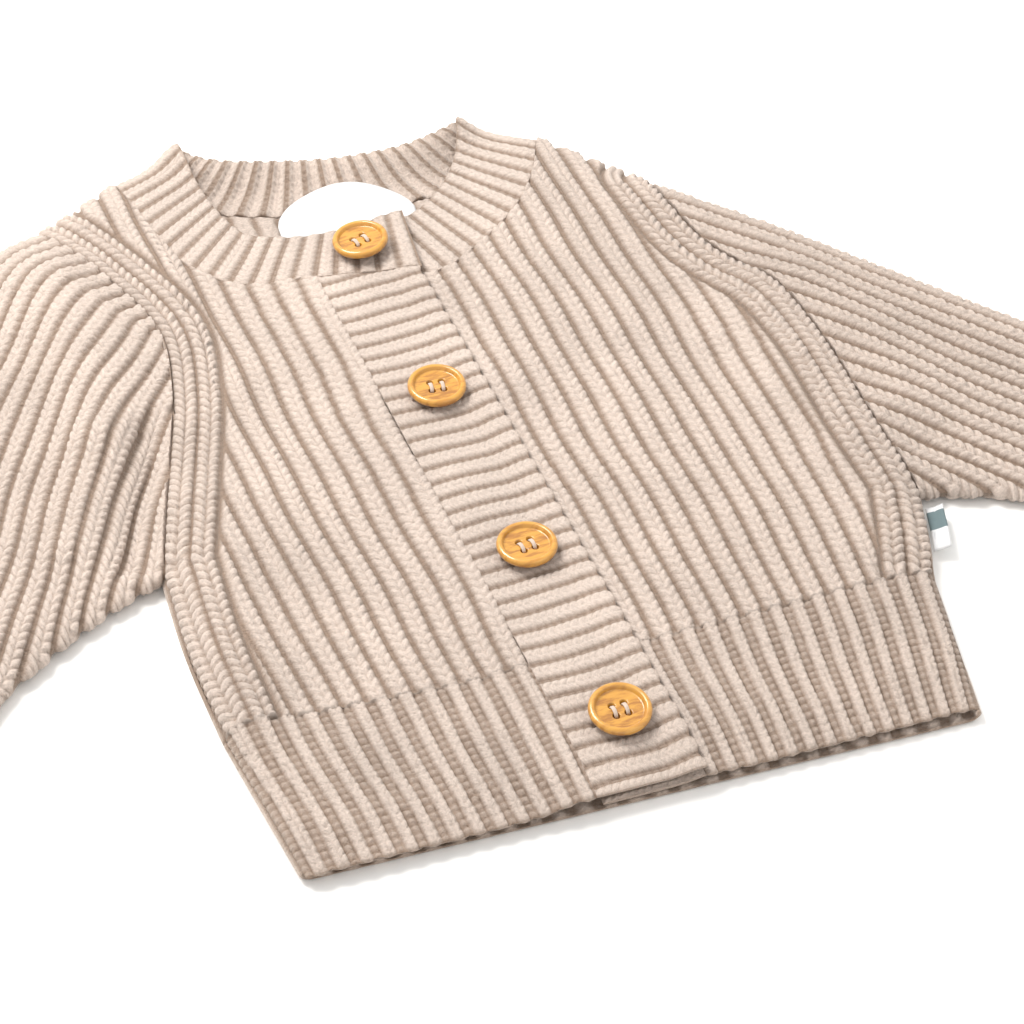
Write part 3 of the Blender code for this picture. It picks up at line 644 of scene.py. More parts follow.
def yarn_group():
    """Plies along the stitch legs: noise stretched along lines of equal v - SLANT a, plus fuzz."""
    tree = bpy.data.node_groups.new("yarn plies", "ShaderNodeTree")
    for name, kind in (("Stitches", "NodeSocketVector"), ("Place", "NodeSocketVector"),
                       ("Fuzz", "NodeSocketFloat")):
        tree.interface.new_socket(name, in_out="INPUT", socket_type=kind)
    for name in ("Shade", "Height"):
        tree.interface.new_socket(name, in_out="OUTPUT", socket_type="NodeSocketFloat")
    enter, leave = tree.nodes.new("NodeGroupInput"), tree.nodes.new("NodeGroupOutput")
    parts = tree.nodes.new("ShaderNodeSeparateXYZ")
    link(tree, enter.outputs["Stitches"], parts.inputs[0])
    within = math_node(tree, "FRACT", parts.outputs[0])
    off = math_node(tree, "ABSOLUTE", math_node(tree, "SUBTRACT", within, 0.5))
    phase = math_node(tree, "SUBTRACT", parts.outputs[1], math_node(tree, "MULTIPLY", off, 2 * SLANT))
    join = tree.nodes.new("ShaderNodeCombineXYZ")
    link(tree, math_node(tree, "MULTIPLY", parts.outputs[0], 5.0), join.inputs[0])
    link(tree, math_node(tree, "MULTIPLY", phase, 6.0), join.inputs[1])
    plies = noise(tree, join.outputs[0], 1.0, 3.0, 0.6)
    fuzz = noise(tree, enter.outputs["Place"], 1300.0, 4.0, 0.75)
    slow = noise(tree, enter.outputs["Place"], 38.0, 2.0)
    height = math_node(tree, "ADD", plies, math_node(tree, "MULTIPLY", fuzz, enter.outputs["Fuzz"]))
    link(tree, height, leave.inputs["Height"])
    mixed = math_node(tree, "ADD", math_node(tree, "MULTIPLY", plies, 0.35),
                      math_node(tree, "ADD", math_node(tree, "MULTIPLY", fuzz, 0.45),
                                math_node(tree, "MULTIPLY", slow, 0.2)))
    link(tree, mixed, leave.inputs["Shade"])
    return tree


def new_material(name, **sockets):
    """A Principled material with plain values set on its own sockets."""
    made = bpy.data.materials.new(name)
    made.use_nodes = True
    shader = made.node_tree.nodes["Principled BSDF"]
    for socket, value in sockets.items():
        shader.inputs[socket.replace("_", " ")].default_value = value
    return made, made.node_tree, shader


def mix_colours(tree, share, first, second):
    """Colour mix of two colours or colour sockets."""
    made = tree.nodes.new("ShaderNodeMix")
    made.data_type = "RGBA"
    link(tree, share, made.inputs[0])
    for socket, value in ((made.inputs[6], first), (made.inputs[7], second)):
        if isinstance(value, tuple):
            socket.default_value = value
        else:
            link(tree, value, socket)
    return made.outputs[2]


def map_range(tree, value, low, high, start=0.0, end=1.0):
    """Value scaled from low and high to start and end."""
    made = tree.nodes.new("ShaderNodeMapRange")
    link(tree, value, made.inputs[0])
    for socket, number in zip(list(made.inputs)[1:5], (low, high, start, end)):
        socket.default_value = number
    return made.outputs[0]


def knit_material(group):
    """Yarn: colour by height on the rib, with painted shade in the furrows, shaded by the plies, which are
    its bump too.
    """
    made, tree, shader = new_material("oatmeal knit", Roughness=0.92, Specular_IOR_Level=0.18,
                                      Sheen_Weight=0.35, Sheen_Roughness=0.45,
                                      Sheen_Tint=(1.0, 0.93, 0.87, 1.0))
    uv = tree.nodes.new("ShaderNodeUVMap")
    uv.uv_map = "ribs_and_rows"
    place = tree.nodes.new("ShaderNodeTexCoord")
    plies = tree.nodes.new("ShaderNodeGroup")
    plies.node_tree = group
    plies.inputs["Fuzz"].default_value = 1.3
    link(tree, uv.outputs[0], plies.inputs["Stitches"])
    link(tree, place.outputs["Object"], plies.inputs["Place"])
    high = tree.nodes.new("ShaderNodeAttribute")
    high.attribute_name = "relief"
    # painted shade: the colour runs from the shaded furrow colour to the crest colour by height on the rib
    share = map_range(tree, high.outputs["Fac"], 0.10, 0.80)
    base = mix_colours(tree, share, PAINTED_FURROW_SHADE, CREST_COLOUR)
    shade = map_range(tree, plies.outputs["Shade"], 0.40, 0.60, 0.78, 1.16)
    tint = tree.nodes.new("ShaderNodeMix")
    tint.data_type = "RGBA"
    tint.blend_type = "MULTIPLY"
    tint.inputs[0].default_value = 1.0
    link(tree, base, tint.inputs[6])
    link(tree, shade, tint.inputs[7])
    link(tree, tint.outputs[2], shader.inputs["Base Color"])
    bump = tree.nodes.new("ShaderNodeBump")
    bump.inputs["Strength"].default_value = 0.85
    bump.inputs["Distance"].default_value = 0.0006
    link(tree, plies.outputs["Height"], bump.inputs["Height"])
    link(tree, bump.outputs[0], shader.inputs["Normal"])
    return made


PLIES = yarn_group()
KNIT = knit_material(PLIES)
print("materials:", [m.name for m in bpy.data.materials if m.users])

# %% [markdown]
# ## The back
# The back is one panel with its hem rib.  It lies face down on the surface, so the face that shows
# from below is ribbed as well as the one inside the neck.  Its ribs are straight up the body.

# %% Back and back hem
RIB = 7.4                 # width of a body rib, millimetres
BACK_RISE = 0.28          # how far the back's ribs stand out on its underside
BACK_HEM_EXTRA = {"right": -2.0, "left": 1.5}   # millimetres the back hem lies below the front's
FOLD_STEPS = np.array([0.0, 0.12, 0.35, 0.7, 1.2, 1.8])   # closer grid steps, millimetres in from a fold


def shares(width, fine, start=True, end=True):
    """Shares of a width: even steps, with closer ones at the ends that are folded."""
    first = FOLD_STEPS / width if start else np.zeros(1)
    last = 1 - FOLD_STEPS[::-1] / width if end else np.ones(1)
    count = max(int(width / fine), 4)
    return np.concatenate([first, np.linspace(first[-1], last[0], count)[1:-1], last])


def neckband_curves(name):
    """Seam edge and free edge of one stretch of the neckband, from its free end or right fold."""
    folds = [i for i, row in enumerate(NECKBAND) if row[0] == "fold"]
    span = {"over": range(folds[0] + 1), "back": range(folds[0], folds[1] + 1),
            "under": range(len(NECKBAND) - 1, folds[1] - 1, -1)}[name]
    return [smooth([NECKBAND[i][column] for i in span], 240) for column in (1, 2)]


def body_side(side, share):
    """Side edge of a body panel: the side seam, then the armhole."""
    return chain((share, side_seam(side)), (1 - share, armhole(side)))


def hem_mix(plan):
    """1 in the hem rib, 0 in the body, changing over a few rows at the join."""
    return 1 - ease(plan[..., 1] - join_y(plan[..., 0]), -1.5, 2.5)


def back_knit(plan):
    """Ribs and rows of the back, x / RIB and y / ROW, with narrower crests in the hem rib."""
    moved = wander(plan)
    mix = hem_mix(plan)
    u, v = moved[..., 0] / RIB + 50, moved[..., 1] / ROW
    return u, v, knit(u, v, half=0.41 - 0.12 * mix, purl=0.16 + 0.14 * mix)


def make_back():
    """Patch between the hem join, both sides, and the shoulders with the back neck."""
    right, left = OUTLINE["right"], OUTLINE["left"]
    share_side, share_r, share_l = 0.28, 0.15, 0.12
    low = line(right["join"], left["join"])
    high = chain((share_r, [right["shoulder"], right["neck"]]),
                 (1 - share_r - share_l, neckband_curves("back")[0]),
                 (share_l, [left["neck"], left["shoulder"]]))
    t, s = np.meshgrid(shares(235, 2.1, start=False), shares(215, 1.4), indexing="ij")
    plan = coons(low, high, body_side("right", share_side), body_side("left", share_side), s, t, hold=4)
    mid, normal = surface(plan, back_height(plan))
    u, v, height = back_knit(plan)
    keep = rim(mid, edges=("last_row", "first_column", "last_column"))
    knitted("panel_back", mid, normal, u, v, height, keep, depth=PRESSED, step=(1, 1),
            back=(INNER, BACK_RISE, height))


def make_hem_back():
    """Patch between the hem join and the back hem, which lies a little askew to the front one."""
    ends = {}
    for side in SIGN:
        o = {name: np.array(OUTLINE[side][name], float) for name in ("hem", "join")}
        down = (o["hem"] - o["join"]) / np.linalg.norm(o["hem"] - o["join"])
        ends[side] = (o["hem"] + BACK_HEM_EXTRA[side] * down, o["join"])
    low, high = line(ends["right"][0], ends["left"][0]), line(ends["right"][1], ends["left"][1])
    start, end = line(*ends["right"]), line(*ends["left"])
    t, s = np.meshgrid(shares(55, 1.5, start=True, end=False), shares(205, 1.2), indexing="ij")
    plan = coons(low, high, start, end, s, t)
    mid, normal = surface(plan, back_height(plan))
    u, v, height = back_knit(plan)
    keep = rim(mid, edges=("first_row", "first_column", "last_column"))
    knitted("rib_hem_back", mid, normal, u, v, height, keep, depth=PRESSED, step=(1, 1),
            back=(INNER, BACK_RISE, height))


make_back()
make_hem_back()

# %% [markdown]
# ## The fronts
# Ribs run up each front, square to the hem and a little wider above it.  The shaping is fully
# fashioned: two ribs follow the side seam and the armhole, and the others run out against them in a
# crease.  The hem rib has its own ribs, spread evenly over its width so that they fan with its side
# edge, with narrower crests and wider furrows.  Its free edge is knobbly, a knob to each rib.

# %% Fronts and front hems
BORDER_RIB, BORDER_RIBS = 7.7, 2
HEM_ROW = 2.6             # rows of the hem rib are closer
HEM_RIBS = {"right": 13, "left": 14}
RIB_START = 0.12          # place within the first rib where a front starts, at the band
BODY_PITCH = {"y": (50, 115, 260), "pitch": (6.7, 7.35, 7.5)}    # ribs widen above the hem
CREASE_HALF = 1.1         # from the crease along the border to where 1/e of it is left


def edge_line(side):
    """Side edge of a front, from the hem corner to the shoulder."""
    o = OUTLINE[side]
    return np.vstack([2 * np.array(o["hem"], float) - o["join"], side_seam(side), armhole(side)[1:]])


def hem_side_x(y, side):
    """How far out the side fold of the hem is, at each height."""
    hem, join = OUTLINE[side]["hem"], OUTLINE[side]["join"]
    return abs(hem[0]) + (abs(join[0]) - abs(hem[0])) * (y - hem[1]) / (join[1] - hem[1])


def front_knit(plan, side):
    """Ribs of a front: straight ones inside, and those that follow the side and armhole outside."""
    moved = wander(plan)
    away, along = nearest(plan, edge_line(side))
    pitch = np.interp(moved[..., 1], BODY_PITCH["y"], BODY_PITCH["pitch"])
    inner = (SIGN[side] * moved[..., 0] - BAND_HALF) / pitch
    border = away < BORDER_RIB * BORDER_RIBS
    mix = hem_mix(plan)
    in_hem = mix > 0.5
    across = (SIGN[side] * moved[..., 0] - BAND_HALF) / (hem_side_x(plan[..., 1], side) - BAND_HALF)
    body_u = np.where(border, 40 + away / BORDER_RIB, RIB_START + inner)
    u = np.where(in_hem, RIB_START + HEM_RIBS[side] * across, body_u)
    v = np.where(border & ~in_hem, along - 50.0, moved[..., 1]) / np.where(in_hem, HEM_ROW, ROW) + 0.35
    beads = np.where(border, 0.34 * (1 - mix), -0.06 * mix)
    half = np.where(border & (mix < 0.5), 0.46, 0.42 - 0.13 * mix)
    height = knit(u, v, half, purl=0.16 + 0.32 * mix, bead=beads)
    crease = 1 - np.exp(-((away - BORDER_RIB * BORDER_RIBS) / CREASE_HALF) ** 2)
    return u, v, height * np.where(in_hem, 1.0, crease)


def front_sheet(plan, side):
    """Points and normals of a front, raised where the right one laps."""
    height = front_height(plan, body_level(plan))
    if side == "right":
        height = height + lap_over(plan[..., 0])
    return surface(plan, height)


def neckline(side):
    """Front neckline from the band's corner to the shoulder."""
    seam = neckband_curves("over" if side == "right" else "under")[0]
    across = np.abs(seam[:, 0]) * np.where(SIGN[side] * seam[:, 0] > 0, 1, -1)
    share = np.interp(BAND_HALF + 0.15, across, np.linspace(0, 1, len(seam)))
    return read_along(seam, share + (1 - share) * np.linspace(0, 1, 160))


def front_opening(mid, side):
    """The right front runs on into its band at full thickness; the left one thins below it."""
    return rim(mid, edges=("first_column",) if side == "left" else ())


def make_front(side):
    """Patch between the hem join, the band, the side with the armhole, and neckline with shoulder."""
    o = OUTLINE[side]
    share_side, share_neck = {"right": (0.3, 0.62), "left": (0.2, 0.72)}[side]
    inner = SIGN[side] * BAND_HALF
    edge = neckline(side)
    foot = (inner, join_y(inner))
    low = line(foot, o["join"])
    high = chain((share_neck, edge), (1 - share_neck, [o["neck"], o["shoulder"]]))
    rows, columns = shares(245, FINE[1], start=False), shares(98, FINE[0], start=False)
    t, s = np.meshgrid(rows, columns, indexing="ij")
    plan = coons(low, high, line(foot, edge[0]), body_side(side, share_side), s, t, hold=4)
    mid, normal = front_sheet(plan, side)
    u, v, height = front_knit(plan, side)
    keep = rim(mid, SEAM_ROUND, least=0.6, edges=("last_row",))
    keep = keep * rim(mid, SEAM_ROUND, SEAM_LEAST, ("last_column",)) * front_opening(mid, side)
    return knitted(f"panel_front_{side}", mid, normal, u, v, height, keep)


def make_hem_front(side):
    """Patch between hem and join, its free edge moved out by 0.9 |sin(pi u)| - 0.3."""
    o = OUTLINE[side]
    inner = SIGN[side] * BAND_HALF
    low, high = line((inner, hem_y(inner)), o["hem"]), line((inner, join_y(inner)), o["join"])
    start, end = line((inner, hem_y(inner)), (inner, join_y(inner))), line(o["hem"], o["join"])
    rows, columns = shares(55, FINE[1], end=False), shares(88, FINE[0], start=False)
    t, s = np.meshgrid(rows, columns, indexing="ij")
    plan = coons(low, high, start, end, s, t)
    near_hem = 1 - ease(plan[..., 1] - hem_y(plan[..., 0]), 0, 3)
    knob = np.abs(np.sin(math.pi * front_knit(plan, side)[0])) * near_hem
    plan = plan - np.stack([0 * knob, 0.9 * knob - 0.3], axis=-1) * (knob > 0)[..., None]
    mid, normal = front_sheet(plan, side)
    u, v, height = front_knit(plan, side)
    keep = rim(mid, radius=2.2, edges=("first_row",)) * rim(mid, edges=("last_column",))
    keep = keep * front_opening(mid, side)
    return knitted(f"rib_hem_front_{side}", mid, normal, u, v, height, keep)


FINE = ((0.56, 0.72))
for front_side in SIGN:
    make_front(front_side)
    make_hem_front(front_side)

# %% [markdown]
# ## The sleeves
# A sleeve is a tapered tube, folded flat along its middle and closed by a seam under the arm.  Its
# ribs run down from the shoulder fold, and those near the seam run out against it.  The cuff rib
# draws the same ribs in.

# %% Sleeves and cuffs
SLEEVE_RIB, SLEEVE_LENGTH = 6.4, 190
SLEEVE_START = 0.2        # millimetres from the armhole seam to the sleeve's first row
UNDER_COARSE = 2.3        # how much coarser the lower layer's grid is


def tube_grid(low, high, start, end, along, widths, fine):
    """Plan of a flattened tube: the upper layer from fold to fold, and the lower one back again."""
    tops = np.array([shares(width, fine * width / widths.max()) for width in widths])
    coarse = [shares(width, UNDER_COARSE * fine * width / widths.max()) for width in widths]
    bottoms = np.array(coarse)[:, ::-1]
    t = along[:, None]
    above = coons(low, high, start, end, tops, t + 0 * tops)
    below = coons(low, high, start, end, bottoms, t + 0 * bottoms)[:, 1:-1]
    return above, below


def make_tube(name, above, below, levels, ribs, edges, half, purl):
    """A ring of both layers; the lower one lies flat, with its ribs pressed."""
    mid_a, normal_a = surface(above, front_height(above, levels[:, None] + 0 * above[..., 0]))
    mid_b, normal_b = surface(below, back_height(below))
    mid = np.concatenate([mid_a, mid_b], axis=1)
    normal = np.concatenate([normal_a, -normal_b], axis=1)
    u_a, v_a = ribs(above)
    u_b, v_b = ribs(below)
    u, v = np.concatenate([u_a, -u_b], axis=1), np.concatenate([v_a, v_b], axis=1)
    height = knit(u + 60, v, half, purl, bead=0.06)
    pressed = np.concatenate([np.ones(above.shape[1]), np.full(below.shape[1], PRESSED)])
    keep = rim(mid, SEAM_ROUND, SEAM_LEAST if "first_row" in edges else 0.3, edges)
    knitted(name, mid, normal, u + 60, v, height, keep, depth=pressed, ring=True)


def sleeve_ribs(side):
    """Ribs counted from the shoulder fold, and rows from the cuff."""
    o = OUTLINE[side]
    under, run = cuff_frame(side)[0], cuff_frame(side)[3]
    fold = np.vstack([np.array(o["shoulder"], float) - 60 * run, sleeve_over(side)])

    def ribs(plan):
        moved = wander(plan)
        return nearest(moved, fold)[0] / SLEEVE_RIB, (under - moved) @ run / ROW
    return ribs


def make_sleeve(side):
    """Tube from the armhole to the cuff; its level runs from the body's to the cuff's."""
    o = OUTLINE[side]
    low, high = chain((1, armhole(side))), line(o["cuff_under"], o["cuff_over"])
    start, end = chain((1, sleeve_under(side))), chain((1, sleeve_over(side)))
    along = np.linspace(0, 1, int(SLEEVE_LENGTH / (1.45 * FINE[1])))
    along[0] = SLEEVE_START / SLEEVE_LENGTH
    widths = np.linalg.norm(start(along) - end(along), axis=1)
    above, below = tube_grid(low, high, start, end, along, widths, 1.4 * FINE[0])
    at_body = body_level(low(np.full(1, 0.5)))[0]
    levels = at_body + (CUFF_LEVEL - at_body) * along
    make_tube(f"tube_sleeve_{side}", above, below, levels, sleeve_ribs(side), ("first_row",),
              half=0.41, purl=0.16)


def make_cuff(side):
    """Tube that draws in evenly along its length."""
    under, over, across, run = cuff_frame(side)
    far = run * CUFF_LENGTH
    tips = (under + far + across * CUFF_DRAW, over + far - across * CUFF_DRAW)
    low, high = line(under, over), line(*tips)
    start, end = line(under, tips[0]), line(over, tips[1])
    along = shares(CUFF_LENGTH, FINE[1], start=False)
    widths = np.linalg.norm(start(along) - end(along), axis=1)
    above, below = tube_grid(low, high, start, end, along, widths, FINE[0])
    width = np.linalg.norm(over - under)

    def ribs(plan):
        down = (plan - under) @ run
        drawn = CUFF_DRAW * down / CUFF_LENGTH
        share = ((over - plan) @ across - drawn) / (width - 2 * drawn)
        return share * width / SLEEVE_RIB, -down / ROW * 1.08
    levels = np.full(len(along), CUFF_LEVEL)
    make_tube(f"rib_cuff_{side}", above, below, levels, ribs, ("last_row",), half=0.30, purl=0.30)


for arm in SIGN:
    make_sleeve(arm)
    make_cuff(arm)

# %% [markdown]
# ## The bands
# The button bands are knitted sideways, so their ribs run across them.  The upper one has a knobbly
# free edge, where each rib ends in a turned stitch, and a slit under each of its three buttons.

# %% Button and buttonhole bands
BAND_RIB, BAND_ROW = 6.6, 2.4
BAND_LENGTH = 230
UNDER_FREE_X = -14.0      # free edge of the button band, hidden below the upper one
SLIT_HALF = 7.4           # half the length of a buttonhole


def band_top(name, x):
    """Where a band stops below the neckband's seam edge, across the band."""
    seam = neckband_curves(name)[0][:80]
    order = np.argsort(seam[:, 0])
    return np.interp(x, seam[order, 0], seam[order, 1])


def band_grid(name, left, right, fine):
    """Grid from a straight hem up to the neckband seam, between two edges."""
    x = left + (right - left) * shares(right - left, fine[0])
    t, x = np.meshgrid(shares(BAND_LENGTH, fine[1]), x, indexing="ij")
    bottom = hem_y(x)
    return np.stack([x, bottom + t * (band_top(name, x) - bottom)], axis=-1)


def make_buttonhole_band():
    """Band with a knobbly free edge, and slits 0.9 exp(-(d / 0.8)^2) deep, d from a short line."""
    plan = band_grid("over", -BAND_HALF, BAND_HALF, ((0.55, 0.5)))
    x, y = plan[..., 0], plan[..., 1]
    u = (y + 0.35 * np.sin(x / 5.0 + y / 21.0)) / BAND_RIB + 30
    v = x / BAND_ROW + 40 + 0.1 * np.sin(y / 9.0)
    height = knit(u, v, half=0.42, purl=0.3, bead=-0.08)
    knob = np.abs(np.sin(math.pi * u)) ** 1.5
    plan = plan + np.stack([(0.9 * knob - 0.5) * ease(x, 12.5, 16.0), 0 * y], axis=-1)
    mid, normal = surface(plan, body_level(plan) + lap_over(plan[..., 0]) + 0.6 * rumple(plan))
    for row in BUTTONS[1:]:
        away = np.hypot(np.maximum(np.abs(x - row["at"][0]) - SLIT_HALF, 0), y - row["at"][1])
        height = height - 0.9 * np.exp(-(away / 0.8) ** 2)
    keep = rim(mid, radius=2.0, edges=("first_row", "last_row", "last_column"))
    knitted("band_buttonholes", mid, normal, u, v, height, keep, depth=0.56)


def make_button_band():
    """Band below the upper one, without slits or knobs."""
    plan = band_grid("under", UNDER_FREE_X, BAND_HALF, (1.0, 1.0))
    u, v = plan[..., 1] / BAND_RIB + 30, plan[..., 0] / BAND_ROW + 40
    mid, normal = surface(plan, body_level(plan) + lap_under(plan[..., 0]))
    knitted("band_buttons", mid, normal, u, v, knit(u, v, half=0.30, purl=0.22), rim(mid), depth=0.5)


make_buttonhole_band()
make_button_band()

# %% [markdown]
# ## The neckband
# One strip of rib goes round the neck: along the right front, round the shoulder fold, behind the
# neck, where it stands up, and back along the left front, where it ends below its own beginning.

# %% Neckband
NECK_RIB, NECK_ROW, NECK_WIDTH = 6.2, 2.8, 24.0
FRONT_PRESSED = 0.6       # share of the relief left on the neckband's front stretches


def neck_stand(plan):
    """Rise towards the free edge at the back of the neck: a bell of the distance from that edge."""
    away = nearest(plan, neckband_curves("back")[1][::12])[0]
    return NECK_STAND * np.exp(-(away / NECK_STAND_WIDTH) ** 2)


def make_neckband():
    """Round the right fold the strip turns over, so behind the neck its back is what faces up."""
    fine = ((0.62, 0.8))
    across = shares(NECK_WIDTH, fine[1])
    laps = {"over": lap_over, "under": lap_under}
    mids, normals, presses = [], [], []
    for name in ("over", "back", "under"):
        outer, inner = neckband_curves(name)
        along = shares(lengths(outer)[-1], fine[0])
        if name == "under":
            along = along[::-1]
        outer, inner = read_along(outer, along), read_along(inner, along)
        plan = outer[:, None] + (inner - outer)[:, None] * across[None, :, None]
        height = back_height(plan)
        if name in laps:
            height = front_height(plan, body_level(plan)) + laps[name](plan[..., 0])
        mid, normal = surface(plan, height, neck_stand(plan))
        first = 1 if mids else 0
        mids.append(mid[first:])
        normals.append((-normal if name == "back" else normal)[first:])
        presses.append(np.full(len(mid) - first, PRESSED if name == "back" else FRONT_PRESSED))
    mid, normal = np.concatenate(mids), np.concatenate(normals)
    middle = mid[:, mid.shape[1] // 2]
    u = (lengths(middle) / NECK_RIB)[:, None] + 0 * mid[..., 0]
    v = (across * NECK_WIDTH / NECK_ROW)[None] + 0.12 * np.sin(u * 2.1) + 20
    behind = knit(u + 0.5, v + 0.5, half=0.35, purl=0.2)
    keep = rim(mid, radius=1.8, edges=("first_row", "last_row", "last_column"))
    keep = keep * rim(mid, SEAM_ROUND, least=0.65, edges=("first_column",))
    knitted("band_neck", mid, normal, u, v, knit(u, v, half=0.39, purl=0.28, bead=-0.04), keep,
            depth=np.concatenate(presses)[:, None], step=(1, 1), back=(0.45, 1.6, behind))


make_neckband()
print("neckband pitch", NECK_RIB, "mm")

# %% [markdown]
# ## The buttons
# Each button is a disc of amber resin under a gloss coat.  The dish has streaks like wood, and the
# rim is plainer, so the material reads how high on the button a point is.

# %% Button material
HONEY, AMBER, UMBER = (0.55, 0.27, 0.038, 1.0), (0.45, 0.20, 0.025, 1.0), (0.32, 0.13, 0.018, 1.0)


def button_material():
    """Streaks: noise stretched along the grain, on Object coordinates."""
    made, tree, shader = new_material("amber wood resin", Roughness=0.34, Coat_Weight=0.7,
                                      Coat_Roughness=0.12, Specular_IOR_Level=0.5)
    place = tree.nodes.new("ShaderNodeTexCoord")
    turn = tree.nodes.new("ShaderNodeMapping")
    turn.inputs["Rotation"].default_value = (0.25, 0.1, math.radians(24))
    turn.inputs["Scale"].default_value = (150.0, 720.0, 300.0)
    link(tree, place.outputs["Object"], turn.inputs["Vector"])
    grain = noise(tree, turn.outputs[0], 1.0, 4.0, 0.62)
    slow = noise(tree, place.outputs["Object"], 130.0, 2.0)
    light = mix_colours(tree, map_range(tree, grain, 0.38, 0.62), AMBER, HONEY)
    mixed = math_node(tree, "ADD", grain, math_node(tree, "MULTIPLY", slow, 0.4))
    streak = map_range(tree, mixed, 0.58, 0.74)
    high = tree.nodes.new("ShaderNodeAttribute")
    high.attribute_name = "relief"
    dish = map_range(tree, high.outputs["Fac"], 0.56, 0.85)
    streaked = mix_colours(tree, streak, UMBER, light)
    plain = mix_colours(tree, streak, AMBER, HONEY)
    link(tree, mix_colours(tree, dish, streaked, plain), shader.inputs["Base Color"])
    bump = tree.nodes.new("ShaderNodeBump")
    bump.inputs["Strength"].default_value = 0.25
    bump.inputs["Distance"].default_value = 0.00015
    link(tree, grain, bump.inputs["Height"])
    link(tree, bump.outputs[0], shader.inputs["Normal"])
    return made


RESIN = button_material()
print("button material:", RESIN.name)

# %% [markdown]
# ### The button's shape
# A button is turned on a lathe: a profile goes round on a grid of angles.  It has a round raised rim
# and a dished middle, and four thread holes are sunk into the dish.  Each is turned and tilted by the
# angles in its row.

# %% Button shape
BUTTON_RADIUS, BUTTON_THICK, BUTTON_ANGLES = 9.0, 3.2, 100
HOLE_RADIUS, HOLE_REACH, HOLE_DEPTH = 1.15, 1.8, 1.4
FOOT = 0.78               # radius of the flat underside, as a share of the button's
BAND_TOP = 1.5            # half the plain wall, from the band's middle surface to its top
BUTTON_AIR = (0.3, 0.2)   # under the button's foot: the gap of a seam, and 0.2 mm more
UNDERSIDE_ROWS = 12       # rows of the profile that the thread holes don't sink
PROFILE = [(0.78, 0), (0.95, 0.26), (1.0, 0.56), (0.975, 0.86), (0.90, 1.0), (0.825, 0.96), (0.775, 0.74),
           (0.74, 0.60), (0.60, 0.57), (0.30, 0.56), (0.004, 0.56)]


def button_place(row):
    """Turn and place of a button: turned on its thread, tilted, and set on the band."""
    plan = np.array([row["at"]], dtype=float)
    tilt = max(abs(row["roll"]), abs(row["pitch"]))
    lift = BUTTON_AIR[0] + FOOT * BUTTON_RADIUS * math.sin(math.radians(tilt)) + BUTTON_AIR[1]
    height = float(body_level(plan)[0] + lap_over(plan[0, 0]) + BAND_TOP + lift)
    roll, pitch, turn = (Matrix.Rotation(math.radians(row[name]), 3, axis)
                         for name, axis in (("roll", "Y"), ("pitch", "X"), ("turn", "Z")))
    return np.array(roll @ pitch @ turn), np.array([*row["at"], height])


def make_button(row, material):
    """Turned disc: x, y = r (cos a, sin a) and z from the profile, less the four holes."""
    outline = smooth([(r * BUTTON_RADIUS, z * BUTTON_THICK) for r, z in PROFILE], 84)
    outline = np.vstack([[(0.02, 0.0), (3.5, 0.0)], outline])
    angle = np.linspace(0, 2 * math.pi, BUTTON_ANGLES, endpoint=False)
    x, y = (outline[:, :1] * np.stack([part])[0] for part in (np.cos(angle), np.sin(angle)))
    z = outline[:, 1:] + 0 * x
    top = np.arange(len(outline))[:, None] > UNDERSIDE_ROWS
    away = np.hypot(np.abs(x) - HOLE_REACH, np.abs(y) - HOLE_REACH)
    z = z - np.where(top, HOLE_DEPTH * (1 - ease(away, 0.72 * HOLE_RADIUS, HOLE_RADIUS)), 0)
    turn, place = button_place(row)
    points = (np.stack([x, y, z], axis=-1) @ turn.T + place + PLAN_PLACE).reshape(-1, 3)
    grid = np.arange(x.size).reshape(x.shape)
    fours = quads(grid, True)
    poles = np.array([points[grid[0]].mean(axis=0), points[grid[-1]].mean(axis=0)])
    first, last = grid[0], grid[-1]
    threes = np.vstack([np.stack([np.roll(first, -1), first, np.full(BUTTON_ANGLES, x.size)], axis=1),
                        np.stack([last, np.roll(last, -1), np.full(BUTTON_ANGLES, x.size + 1)], axis=1)])
    points = np.vstack([points, poles])
    if volume(points, fours, threes) < 0:
        fours, threes = fours[:, ::-1], threes[:, ::-1]
    mesh = bpy.data.meshes.new(row["name"] + "_turned")
    fill_mesh(mesh, points, fours, threes)
    high = np.append(outline[:, 1:] + 0 * x, [0.0, outline[-1, 1]]) / BUTTON_THICK
    mesh.attributes.new("relief", "FLOAT", "POINT").data.foreach_set("value", high)
    mesh.materials.append(material)
    made = bpy.data.objects.new(row["name"] + "_turned", mesh)
    bpy.context.scene.collection.objects.link(made)
    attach(made, "root")
    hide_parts(row["name"])
    print(made.name, len(mesh.vertices), "points")


for button_row in BUTTONS:
    make_button(button_row, RESIN)

# %% [markdown]
# ## The sewing thread
# Each button is sewn on by two parallel stitches of three strands, from hole to hole.

# %% Thread
THREAD_RADIUS = 0.3
THREAD_DARK, THREAD_LIGHT = (0.40, 0.31, 0.245, 1.0), (0.60, 0.50, 0.42, 1.0)
STRAND_SHIFTS = (-0.36, 0.0, 0.36)          # the three strands of a stitch, side by side
STRAND_SINK, STRAND_RISE = 0.9, 1.45        # how far its ends lie in the holes, and its arc rises


def thread_material():
    """Beige thread, mottled by noise."""
    made, tree, shader = new_material("beige sewing thread", Roughness=0.75, Sheen_Weight=0.2)
    place = tree.nodes.new("ShaderNodeTexCoord")
    shade = noise(tree, place.outputs["Object"], 2200.0, 2.0)
    colour = mix_colours(tree, shade, THREAD_DARK, THREAD_LIGHT)
    link(tree, colour, shader.inputs["Base Color"])
    return made


